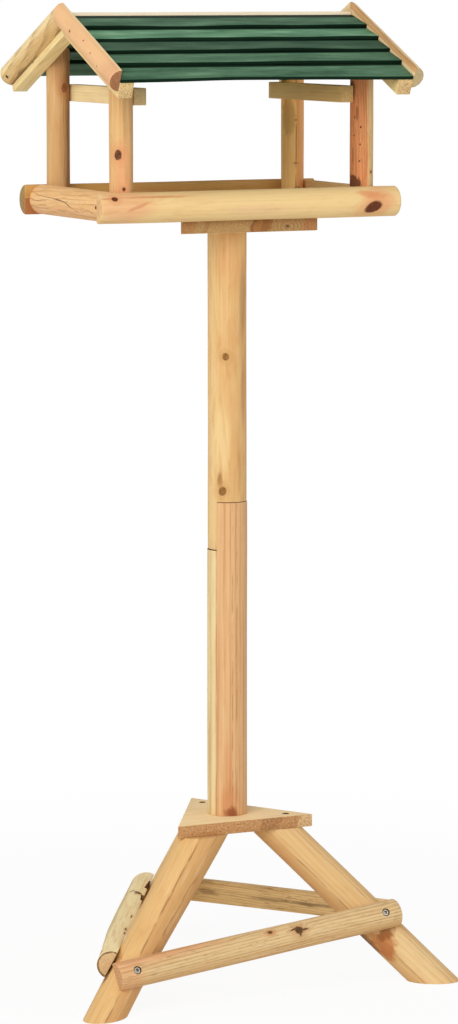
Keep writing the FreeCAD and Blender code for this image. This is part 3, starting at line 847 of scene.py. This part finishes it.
def makeBrace(name, look, seed):
    to = braceFrame(look.angle)
    out = to.to_3x3() @ Vector((0, 1, 0))
    crown = Vector((0, stand.braceRadius - fixings.brace_screws.sink, 0))
    screws = [facing(to @ (spot + crown), out) for spot in braceCrossings(look)]
    near, far = [to @ spot for spot in braceCrossings(look)]
    along = (far - near).normalized()
    length = (far - near).length + sum(look.over)
    where = pieceFrame(near - along * look.over[0], along, out.cross(along))
    bm = logBlank(length, stand.braceRadius, seed, braceLog.rough, sides=40, rings=30)
    for v in bm.verts:
        more = look.swell * rising(v.co.z, braceLog.swellFrom, braceLog.swellOver)
        v.co.y *= 1 + more
        v.co.x *= 1 + more * braceLog.flatter
    halve(bm, *look.round)
    easeEdges(bm, braceLog.ease)
    cutters = drill("brace_screws", screws)
    for crack in look.get("cracks", ()):
        crackCutter(cutters, where, stand.braceRadius * 1.15, crack.path, crack.wide, crack.deep)
    firPiece("brace_" + name, bm, where, look, seed, cutters)
    return screws


def trianglePlate(node, bottom, look, seed, cutters):
    bm = bmesh.new()
    bmesh.ops.create_circle(bm, cap_ends=True, segments=3, radius=stand.plateSide / math.sqrt(3))
    first = min(bm.verts, key=lambda v: v.co.x)
    turn = math.radians(90) - math.atan2(first.co.y, first.co.x)
    bmesh.ops.rotate(bm, verts=bm.verts, cent=(0, 0, 0), matrix=Matrix.Rotation(turn, 3, "Z"))
    grown = bmesh.ops.extrude_face_region(bm, geom=bm.faces[:])["geom"]
    bmesh.ops.translate(bm, verts=[part for part in grown if isinstance(part, bmesh.types.BMVert)],
                        vec=(0, 0, stand.plateThick))
    bmesh.ops.recalc_face_normals(bm, faces=bm.faces)
    for face in bm.faces:
        if abs(face.normal.z) < 0.5:
            face.material_index = 1
    easeEdges(bm, look.ease)
    corner = (look.shift, pole.y, bottom)
    bmesh.ops.translate(bm, verts=bm.verts, vec=corner)
    where = pieceFrame(corner, look.along, up)  # the plate's grain runs across it
    firPiece(node, bm, where, look, seed, cutters, placed=True)


def screwPair(z, out):
    return [facing((x, pole.y, z), out) for x in (-pole.screwHalf, pole.screwHalf)]


def buildStand():
    for seed, (name, look) in enumerate(legLook.items(), start=1):
        makeLeg(name, look, seed)
    braceScrews = []
    for seed, (name, look) in enumerate(braceLook.items(), start=11):
        braceScrews += makeBrace(name, look, seed)
    addFasteners("brace_screws", braceScrews)
    out = stand.legTopRadius + legLog.screwOut
    legScrews = [facing((math.cos(look.angle) * out, pole.y + math.sin(look.angle) * out,
                         stand.baseTop - fixings.leg_screws.sink), up) for look in legLook.values()]
    poleFoot = screwPair(plateUnder + fixings.pole_foot_screws.sink, -up)
    # the left leg's screw is filled over
    trianglePlate("base_plate", plateUnder, basePlateLook, 21, drill("leg_screws", legScrews[1:] + poleFoot))
    addFasteners("leg_screws", legScrews)
    addFasteners("pole_foot_screws", poleFoot)


buildStand()
print("stand: legs, braces and base plate")

poleLook = Look(
    lower=Look(
        pith=(0.0316, -0.015), heartRadius=0.08, sap=(0.8, 0.63, 0.32), heart=(0.72, 0.425, 0.197),
        late=(0.46, 0.17, 0.06), spacing=0.006, wander=0.002, taper=0.001, ringDark=0.62, blush=0.0,
        zones=[(154.6, 0.0133, 0.0018, (0.81, 0.65, 0.335), 0.9)],
        seams=[(-149, 0.0006, 0.001, 0.3), (-100, 0.0008, 0.004, 0.4), (-86, 0.0007, 0.004, 0.4)],
        tints=[(0.016, 178, 0.05, 0.012, (0.74, 0.47, 0.215), 0.75),
            (0.05, -112, 0.06, 0.006, (0.6, 0.22, 0.08), 0.4),
            (0.018, -104, 0.026, 0.014, (0.58, 0.21, 0.075), 0.45)],
        patches=[(0.004, -101, 0.009, 0.009, (0.28, 0.075, 0.022), 0.9)]),
    upper=Look(
        pith=(0.003, 0.004), heartRadius=0.014, sap=(0.725, 0.455, 0.185), heart=(0.65, 0.345, 0.13),
        ringDark=0.3, blush=0.7, wander=0.014, mottle=0.5,
        # the soft pale zone over the left half is painted light on the lamp side
        zones=[(154.6, 0.012, 0.006, (0.82, 0.58, 0.275), 0.6)],
        knots=[(0.2325, -120, 0.0048, 0.0045), (0.0715, -129, 0.0058, 0.0052, 15)],
        knotTones=Look(core=(0.2, 0.076, 0.014), rim=(0.32, 0.15, 0.038), halo=(0.56, 0.3, 0.1)),
        tints=[(0.36, -118, 0.05, 0.022, (0.72, 0.38, 0.15), 0.6),
            (0.3, -62, 0.06, 0.006, (0.42, 0.25, 0.1), 0.6),
            (0.19, -60, 0.05, 0.005, (0.45, 0.2, 0.1), 0.5),
            (0.13, -135, 0.05, 0.012, (0.84, 0.62, 0.3), 0.6)],
        patches=[(0.084, -138, 0.012, 0.0044, (0.32, 0.14, 0.036), 0.75)]))
poleLog = Look(rough=0.0006, ease=0.001, cutWide=0.12, cutDeep=0.06, screwIn=0.014)


def poleLength(name, radius, bottom, top, seed, lapSide, cutters):
    where = pieceFrame((0, pole.y, bottom), up, (1, 0, 0))
    bm = logBlank(top - bottom, radius, seed, poleLog.rough, sides=64, rings=48)
    markEnds(bm)
    easeEdges(bm, poleLog.ease)
    # cut away this length's half of the lap
    block = bmesh.ops.create_cube(cutters, size=1)["verts"]
    bmesh.ops.scale(cutters, verts=block,
                    vec=(poleLog.cutWide, poleLog.cutDeep, pole.lapTop - pole.lapBottom))
    bmesh.ops.translate(cutters, verts=block,
                        vec=(0, poleLog.cutDeep / 2 * lapSide, (pole.lapTop + pole.lapBottom) / 2))
    bmesh.ops.rotate(cutters, verts=block, cent=(0, 0, 0), matrix=Matrix.Rotation(pole.lapTurn, 3, "Z"))
    bmesh.ops.translate(cutters, verts=block, vec=(0, pole.y, 0))
    firPiece("pole_" + name, bm, where, poleLook[name], seed, cutters)


def buildPole():
    out = Matrix.Rotation(pole.lapTurn, 3, "Z") @ Vector((0, 1, 0))
    deep = pole.upperRadius - fixings.lap_screws.sink
    lapScrews = [facing(Vector((0, pole.y, z)) + out * deep, out)
                 for z in (pole.lapBottom + poleLog.screwIn, pole.lapTop - poleLog.screwIn)]
    # each length stops just short of the other's shoulder
    poleLength("lower", pole.lowerRadius, stand.baseTop, pole.lapTop - pole.lapGap, 31, 1, bmesh.new())
    poleLength("upper", pole.upperRadius, pole.lapBottom + pole.lapGap, pole.top, 32, -1,
               drill("lap_screws", lapScrews))
    addFasteners("lap_screws", lapScrews)
    addFasteners("pole_head_screws", screwPair(house.floorUnder - fixings.pole_head_screws.sink, up))


buildPole()
print("pole: two lapped lengths")

trayLook = Look(
    front=Look(
        out=(0, -1, 0), round=(0.003, 0.0038), pith=(0.001, -0.003), heartRadius=0.006,
        sap=(0.815, 0.575, 0.262), heart=(0.79, 0.5, 0.225), ringDark=0.22, blush=0.4, streak=0.22,
        endMix=0.15, pores=0.1, ragged=0.15,
        knots=[(0.0175, 52, 0.0044, 0.0034), (0.3525, 109, 0.0124, 0.0072, -22)],
        knotTones=Look(core=(0.085, 0.019, 0.003), rim=(0.14, 0.038, 0.008), halo=(0.7, 0.3, 0.12)),
        tints=[(0.03, 75, 0.045, 0.024, (0.79, 0.4, 0.2), 0.7),
            (0.362, 78, 0.022, 0.02, (0.78, 0.41, 0.2), 0.7),
            (0.2, 105, 0.06, 0.008, (0.78, 0.5, 0.27), 0.5)],
        patches=[(0.07, 46, 0.055, 0.0024, (0.62, 0.24, 0.1), 0.7),
            (0.047, 84, 0.019, 0.0024, (0.6, 0.24, 0.1), 0.6, -20),
            (0.01, 50, 0.014, 0.0014, (0.45, 0.15, 0.06), 0.7),
            (0.349, 58, 0.022, 0.006, (0.68, 0.26, 0.1), 0.75, 12)]),
    back=Look(
        out=(0, 1, 0), round=(0.004, 0.004), pith=(0.002, 0.001), heartRadius=0.01,
        sap=(0.58, 0.325, 0.094), heart=(0.52, 0.255, 0.066), endMix=0.85, endTone=(0.33, 0.225, 0.075),
        pores=0.5,
        endBands=[(-0.0138, -0.0065, (0.52, 0.19, 0.055), 0.85)],
        patches=[(0.0, 20, 0.03, 0.012, (0.36, 0.1, 0.03), 0.8)]),
    left=Look(
        out=(-1, 0, 0), round=(0.0012, 0.0012), pith=(0.008, 0.006), heartRadius=0.012,
        sap=(0.87, 0.535, 0.24), heart=(0.83, 0.45, 0.2), ringDark=0.65, blush=0.4, wander=0.014,
        fleck=0.35, wall=splitWall,
        seams=[(98, 0.0006, 0.016, 0.5), (64, 0.0005, 0.02, 0.45), (126, 0.0005, 0.016, 0.4)]),
    right=Look(out=(1, 0, 0), round=(0.0012, 0.0012), pith=(-0.004, 0.002), heartRadius=0.01))
# the split in the left rail
railCrack = Look(path=[(0.212, 122), (0.183, 110), (0.142, 106), (0.105, 96), (0.082, 74), (0.063, 58)],
                 wide=0.0006, deep=0.0012)
trayPlateLook = Look(
    # the end tones are darker than the base plate's: painted shade under the tray, over the end grain's own
    # bands
    plateLook, shift=0.005, endTone=(0.44, 0.25, 0.085), endMix=0.95, pores=0.35,
    eye=Look(height=0.006, along=0.0495, squash=0.72, spacing=0.0034, dark=0.5, reach=0.016),
    endBands=[(0.0, 0.026, (0.37, 0.145, 0.032), 0.9), (-0.001, 0.004, (0.18, 0.07, 0.022), 0.6),
        (0.014, 0.023, (0.22, 0.085, 0.02), 0.5), (0.067, 0.089, (0.46, 0.19, 0.065), 0.85),
        (-0.092, -0.074, (0.42, 0.19, 0.06), 0.8), (-0.062, -0.056, (0.34, 0.17, 0.055), 0.6),
        (0.032, 0.0335, (0.36, 0.17, 0.055), 0.6), (0.04, 0.0412, (0.36, 0.17, 0.055), 0.5),
        (0.056, 0.0575, (0.36, 0.17, 0.055), 0.5)])
floorLook = Look(pith=(0.02, 0.06), heartRadius=0.03, spacing=0.004)
trayFit = Look(rough=0.0007, ease=0.0016, railSlack=0.0004, plankSlack=0.0006, plankGap=0.001,
               plankEase=0.0008, screwHalf=0.045, screwEdge=0.006, cornerNail=0.093, floorNailSink=0.0025)


def halfRail(side, look, seed, cutters):
    out = Vector(look.out)
    along = Vector((abs(out.y), abs(out.x), 0))
    length = 2 * house.railHalf if out.y else 2 * house.halfY - trayFit.railSlack
    middle = Vector((out.x * house.halfX, house.y + out.y * house.halfY,
                     house.floorUnder + house.railRadius))
    where = pieceFrame(middle - along * length / 2, along, out.cross(along))
    bm = logBlank(length, house.railRadius, seed, trayFit.rough, sides=44, rings=32)
    halve(bm, *look.round)
    easeEdges(bm, trayFit.ease)
    if side == "left":
        crackCutter(cutters, where, house.railRadius, railCrack.path, railCrack.wide, railCrack.deep)
    firPiece("tray_%s_rail" % side, bm, where, look, seed, cutters)


def buildTray():
    railZ = house.floorUnder + house.railRadius
    gap = trayFit.plankGap
    pitch = (2 * house.halfY + gap) / 3
    middles = [house.y - house.halfY + pitch * (n + 0.5) - gap / 2 for n in range(3)]
    shift = trayPlateLook.shift
    plateScrews = [facing((x, y, floorTop - fixings.tray_plate_screws.sink), up) for x, y in (
        (shift - trayFit.screwHalf, middles[0]), (shift + trayFit.screwHalf, middles[0]),
        (shift, middles[1]), (shift, middles[2] - (pitch - gap) / 2 + trayFit.screwEdge))]
    crown = math.sqrt(house.railRadius ** 2 - (house.railRadius - house.floorThick / 2) ** 2)
    cornerX = house.halfX + house.railRadius - fixings.tray_nails.sink
    floorX = house.halfX + crown - trayFit.floorNailSink
    nails = {}
    for side, sign in (("left", -1), ("right", 1)):
        spots = [(cornerX, house.y + y, railZ) for y in (-trayFit.cornerNail, trayFit.cornerNail)]
        spots += [(floorX, y, house.floorUnder + house.floorThick / 2) for y in middles]
        nails[side] = [facing((sign * x, y, z), (sign, 0, 0)) for x, y, z in spots]
    for seed, (side, look) in enumerate(trayLook.items(), start=41):
        # only the front corner nails show, the others are filled over
        halfRail(side, look, seed, drill("tray_nails", nails[side][:1]) if side in nails else None)
    for number, middle in enumerate(middles, start=1):
        bm = plankBlank(2 * house.halfX - trayFit.plankSlack, pitch - gap, house.floorThick)
        markEnds(bm)
        easeEdges(bm, trayFit.plankEase)
        where = pieceFrame((0, middle, floorTop - house.floorThick / 2), (1, 0, 0), (0, 1, 0))
        holes = drill("tray_plate_screws", plateScrews)
        firPiece("floor_plank_%d" % number, bm, where, floorLook, 50 + number, holes)
    trianglePlate("tray_plate", pole.top, trayPlateLook, 22, None)
    addFasteners("tray_plate_screws", plateScrews)
    addFasteners("tray_nails", nails["left"] + nails["right"])


buildTray()
print("tray: rails, floor and plate")

postLook = Look(
    front_left=Look(
        pith=(-0.002, 0.003), heartRadius=0.008, sap=(0.71, 0.435, 0.18), ringDark=0.35,
        knots=[(0.0691, -129, 0.0066, 0.0047), (0.0294, -100, 0.0026, 0.0022)],
        knotTones=Look(core=(0.06, 0.018, 0.006), rim=(0.18, 0.058, 0.018), halo=(0.66, 0.27, 0.11)),
        # the zone darkens the right side: pinker wood with painted shade
        zones=[(-25.4, 0.01, 0.002, (0.58, 0.31, 0.13), 0.5)],
        tints=[(0.04, -100, 0.055, 0.011, (0.74, 0.34, 0.155), 0.7)],
        patches=[(0.125, -95, 0.05, 0.003, (0.52, 0.27, 0.1), 0.6)]),
    front_right=Look(
        pith=(-0.012, -0.008), heartRadius=0.004, sap=(0.74, 0.49, 0.22), late=(0.26, 0.07, 0.02),
        spacing=0.003, ringDark=0.6, streak=0.5, fleck=0.55, mottle=0.6, patchSoft=(0.7, 1.05),
        zones=[(-145, 0.007, 0.0012, (0.68, 0.225, 0.075), 0.85)],
        knots=[(0.108, -154, 0.0013, 0.001), (0.0966, -121, 0.0015, 0.0012), (0.0867, -158, 0.0012, 0.001),
            (0.076, -124, 0.0014, 0.0011), (0.0562, -127, 0.0013, 0.001), (0.0432, -62, 0.0019, 0.0016)],
        patches=[(0.029, -160, 0.011, 0.0085, (0.095, 0.022, 0.004), 0.9),
            # the dark patch near the top is a brown stain with painted shade under the roof
            (0.14, -178, 0.014, 0.008, (0.2, 0.085, 0.03), 0.7),
            (0.113, -140, 0.01, 0.002, (0.3, 0.09, 0.03), 0.7),
            (0.062, -165, 0.012, 0.002, (0.3, 0.09, 0.03), 0.6)]),
    back_left=Look(
        pith=(0.003, -0.002), heartRadius=0.01, sap=(0.65, 0.41, 0.175), heart=(0.57, 0.3, 0.12),
        ringDark=0.5,
        knots=[(0.142, -78, 0.0066, 0.004)],
        seams=[(-84, 0.0006, 0.012, 0.6), (-60, 0.0006, 0.008, 0.5)],
        knotTones=Look(core=(0.2, 0.072, 0.024), rim=(0.34, 0.135, 0.048), halo=(0.46, 0.18, 0.064)),
        # the dark right side is painted shade; the reddish top is redder wood with painted shade under the
        # roof
        zones=[(-25.4, 0.009, 0.003, (0.28, 0.115, 0.038), 0.75)],
        tints=[(0.185, -105, 0.06, 0.014, (0.56, 0.26, 0.1), 0.6)],
        patches=[(0.09, -92, 0.06, 0.004, (0.52, 0.26, 0.1), 0.5)]),
    back_right=Look(
        pith=(0.003, 0.002), heartRadius=0.006, sap=(0.96, 0.61, 0.22),
        # the zone darkens the right side: redder wood with painted shade
        zones=[(-25.4, 0.005, 0.0012, (0.74, 0.31, 0.1), 0.75)],
        patchSoft=(0.75, 1.05),
        patches=[(0.108, -142, 0.03, 0.0095, (0.56, 0.33, 0.1), 0.6)],
        seams=[(-98, 0.0008, 0.004, 0.8)],
        knots=[(0.0993, -98, 0.0008, 0.0018), (0.0466, -98, 0.0006, 0.0022)],
        knotTones=Look(core=(0.22, 0.09, 0.03), rim=(0.3, 0.13, 0.045), halo=(0.6, 0.27, 0.1))))
postLog = Look(long=0.24, rough=0.0006, ease=0.0008, screwUp=0.014, headGap=0.0003)
rafterLook = Look(pith=(0.012, 0.016), heartRadius=0.008, sap=(0.95, 0.75, 0.355), ringDark=0.4, pores=0.7)
tieLook = Look(
    left=Look(
        pith=(0.012, 0.02), heartRadius=0.008, sap=(0.92, 0.72, 0.375), ringDark=0.25,
        endTone=(0.33, 0.18, 0.065)),
    right=Look(pith=(0.012, 0.02), heartRadius=0.008, sap=(0.84, 0.56, 0.2), ringDark=0.25))
tieCut = Look(long=0.198, thick=0.016, deep=0.02, drop=0.033)
bargeLook = Look(
    front_left=Look(
        pith=(0.0, 0.002), heartRadius=0.03, heart=(0.815, 0.49, 0.245), ringDark=0.12, blush=0.0,
        streak=0.1, mottle=0.15, round=0.0012, endMix=0.85, endTone=(0.27, 0.092, 0.031),
        zones=[(-90, -0.0028, 0.001, (0.84, 0.63, 0.34), 0.8)],
        knots=[(0.0575, 76, 0.0016, 0.0013), (0.094, 53, 0.001, 0.0008), (0.121, 69, 0.0009, 0.0007),
            (0.146, 90, 0.0008, 0.0007)],
        tints=[(0.178, 75, 0.028, 0.022, (0.7, 0.36, 0.19), 0.5)],
        shownNails=0),
    front_right=Look(
        pith=(0.001, -0.003), heartRadius=0.004, sap=(0.66, 0.375, 0.155), round=0.004, blush=0.1,
        # the zone at 90 degrees pales the round outer side: cream wood with painted light from above
        zones=[(180, 0.012, 0.0005, (0.34, 0.16, 0.055), 0.7), (90, 0.002, 0.0006, (0.86, 0.63, 0.33), 0.9),
            (0, -0.0064, 0.0007, (0.88, 0.69, 0.4), 0.8)],
        endMix=0.7, endTone=(0.4, 0.31, 0.15), shownNails=2),
    back_left=Look(
        pith=(0.006, -0.006), heartRadius=0.004, sap=(0.75, 0.51, 0.215), late=(0.42, 0.23, 0.075),
        taper=0.07, ringDark=0.85, spacing=0.006, round=0.007, fleck=0.35,
        zones=[(180, -0.003, 0.004, (0.95, 0.77, 0.42), 0.75),
            # the dark line along the lower edge, where the barge meets the rafter, is a painted shadow
            (0, 0.0131, 0.0005, (0.15, 0.075, 0.025), 0.85)],
        shownNails=1),
    back_right=Look(
        pith=(0.002, 0.001), heartRadius=0.004, sap=(0.9, 0.67, 0.36), round=0.004, shownNails=2))
bargeLog = Look(rough=0.0005, ease=0.001, topRound=0.001, nails=(0.014, 0.03))
spare = 0.03  # what the plumb cut at the ridge takes off
battenEase = 0.0009


def slopeFrame(half):
    turned = Matrix.Rotation(0 if half == "front" else math.pi, 4, "Z")
    return Matrix.Translation((0, house.y, house.ridge)) @ turned @ Matrix.Rotation(house.pitch, 4, "X")


def buildHouse():
    postX, postY = house.halfX - house.postRadius, house.halfY - house.postRadius
    rafterApex = house.upstand / math.cos(house.pitch)
    lowTop = house.ridge - rafterApex - house.halfY * math.tan(house.pitch)
    tieZ = lowTop - tieCut.drop - tieCut.deep / 2
    rafterMid = house.upstand + house.rafterDeep / 2
    rafterAtPost = (postY + rafterMid * math.sin(house.pitch)) / math.cos(house.pitch)
    nailDrop = house.upstand / 2 + house.bargeRadius
    bargeCrown = math.sqrt(house.bargeRadius ** 2 - (nailDrop - house.bargeRadius) ** 2)
    nailX = gableX + bargeCrown - fixings.barge_nails.sink
    spots = {node: [] for node in ("post_screws", "tie_screws", "rafter_screws", "barge_nails")}
    for seed, corner in enumerate(postLook, start=61):
        half, side = corner.split("_")
        sy = -1 if half == "front" else 1
        sx = -1 if side == "left" else 1
        slope = slopeFrame(half)
        localX = -sx * sy  # the back slope is the front one turned round
        down = slope.to_3x3() @ Vector((0, -1, 0))
        out = Vector((sx, 0, 0))

        foot = Vector((sx * postX, house.y + sy * postY, floorTop))
        inside = foot.y - sy * (house.postRadius - fixings.post_screws.sink)
        screw = facing((foot.x, inside, floorTop + postLog.screwUp), (0, -sy, 0))
        spots["post_screws"].append(screw)
        tieX = postX - house.postRadius - tieCut.thick + fixings.tie_screws.sink
        spots["tie_screws"].append(facing((sx * tieX, foot.y, tieZ), (-sx, 0, 0)))
        atPost = slope @ Vector((localX * gableX, -rafterAtPost, -rafterMid))
        spots["rafter_screws"].append(facing(atPost, out))
        where = pieceFrame(foot, up, (1, 0, 0))
        bm = logBlank(postLog.long, house.postRadius, seed, postLog.rough, sides=40, rings=22)
        markEnds(bm)
        toPlace(bm, where)
        saw(bm, slope @ Vector((0, 0, -house.upstand - postLog.headGap)), slope.to_3x3() @ up)
        easeEdges(bm, postLog.ease, angle=30, segments=1)
        hole = drill("post_screws", [screw])
        firPiece("post_" + corner, bm, where, postLook[corner], seed, hole, placed=True)

        # rafter, with its plumb cut at the ridge
        top = slope @ Vector((localX * (house.halfX + house.rafterWide / 2), 0, -rafterMid))
        where = pieceFrame(top, down, out)
        bm = plankBlank(house.rafterLong + spare, house.rafterWide, house.rafterDeep, rings=16, strips=3)
        bmesh.ops.translate(bm, verts=bm.verts, vec=(0, 0, (house.rafterLong - spare) / 2))
        markEnds(bm)
        toPlace(bm, where)
        saw(bm, (0, house.y, 0), (0, -sy, 0))
        easeEdges(bm, battenEase)
        firPiece("rafter_" + corner, bm, where, rafterLook, seed + 10, placed=True)

        # half-log barge board, flat side to the rafter
        look = bargeLook[corner]
        low, high = bargeLog.nails
        nails = [facing(slope @ Vector((localX * nailX, -s, -nailDrop)), out)
                 for s in (house.rafterLong - low, high)]
        spots["barge_nails"] += nails
        where = pieceFrame(slope @ Vector((localX * gableX, 0, -house.bargeRadius)), down, out.cross(down))
        bm = logBlank(house.rafterLong + spare, house.bargeRadius, seed + 3, bargeLog.rough, sides=40,
                      rings=22, start=-spare)
        halve(bm, bargeLog.topRound, look.round)
        toPlace(bm, where)
        saw(bm, (0, house.y, 0), (0, -sy, 0))
        easeEdges(bm, bargeLog.ease)
        holes = drill("barge_nails", nails[:look.shownNails])  # the rest are filled over
        firPiece("barge_" + corner, bm, where, look, seed + 20, holes, placed=True)
    for side, sx, seed in (("left", -1, 91), ("right", 1, 92)):
        middle = Vector((sx * (postX - house.postRadius - tieCut.thick / 2), house.y, tieZ))
        bm = plankBlank(tieCut.long, tieCut.thick, tieCut.deep, rings=16, strips=3)
        markEnds(bm)
        easeEdges(bm, battenEase)
        firPiece("tie_" + side, bm, pieceFrame(middle, (0, 1, 0), (1, 0, 0)), tieLook[side], seed)
    for node in spots:
        addFasteners(node, spots[node])


buildHouse()
print("house: posts, ties, rafters and barge boards")

boardLook = Look(
    slack=0.0008, ease=0.0007, pinIn=0.004, wide=0.04, thick=0.0045, count=5, frontGap=0.0055,
    backLap=0.004, wave=0.0018,
    tones=Look(front=(1.02, 1.95, 0.68, 1.15, 1.22), back=(1.0, 1.2, 0.9, 1.1, 1.0)),
    # the dark band along the head of each board's top face is painted shade
    headBand=Look(front=(-0.0105, -0.0092), back=(-0.0178, -0.016)))
rawLook = Look(sap=(0.86, 0.76, 0.57), heart=(0.84, 0.7, 0.48), pith=(0.02, 0.03), ringDark=0.1, streak=0.1)


def boardFrame(half, number):
    sine, cosine = math.sin(house.pitch), math.cos(house.pitch)
    first = (house.upstand * sine + (boardLook.frontGap if half == "front" else -boardLook.backLap)) / cosine
    pitch = (house.rafterLong - boardLook.wide - first) / (boardLook.count - 1)
    tip = 0 if number == boardLook.count else -math.asin(boardLook.thick / pitch)
    place = Matrix.Translation((0, -(first + (number - 1) * pitch), -house.upstand))
    return slopeFrame(half) @ place @ Matrix.Rotation(tip, 4, "X")


def boardBlank(number, seed):
    wide, wave = boardLook.wide, boardLook.wave
    bm = plankBlank(2 * gableX - boardLook.slack, wide, boardLook.thick, rings=40, strips=6)
    bm.normal_update()
    for face in bm.faces:
        # edges stained green and darkened with painted shade, and a raw one along the ridge
        if face.normal.x > 0.7 or abs(face.normal.z) > 0.7:
            face.material_index = 1
        elif face.normal.x < -0.7:
            face.material_index = 2 if number == 1 else 1
    easeEdges(bm, boardLook.ease)
    for v in bm.verts:
        # the lower edge waves a little, the head not at all
        low = (v.co.x / wide + 0.5) ** 2
        v.co.y += low * wave * noise.noise(Vector((v.co.z * 9, seed * 3.1, 0)))
        v.co.x += low * wave * noise.noise(Vector((v.co.z * 7, seed * 1.3, 5)))
    return bm


def buildRoof():
    pins = []
    rawEdge = firMaterial("rawEdgeFir", rawLook, 101)
    for half, firstSeed in (("front", 110), ("back", 130)):
        for number in range(1, boardLook.count + 1):
            node = "roof_board_%s_%d" % (half, number)
            seed = firstSeed + number
            board = boardFrame(half, number)
            down = board.to_3x3() @ Vector((0, -1, 0))
            out = board.to_3x3() @ up
            middle = board @ Vector((0, -boardLook.wide / 2, boardLook.thick / 2))
            where = pieceFrame(middle, down.cross(out), down)
            bm = boardBlank(number, seed)
            toPlace(bm, where)
            tone = boardLook.tones[half][number - 1]
            top = stainMaterial(node + "Stain", seed, tone, boardLook.headBand[half])
            materials = [top, stainMaterial(node + "Edge", seed, tone), rawEdge]
            addPiece(node, "_stained", bm, where, materials)
            for x in (-1, 1):
                spot = Vector((x * (gableX - house.rafterWide / 2), -boardLook.pinIn,
                               boardLook.thick - fixings.roof_pins.sink))
                pins.append(facing(board @ spot, out))
    addFasteners("roof_pins", pins)


buildRoof()
print("roof: lapped boards")
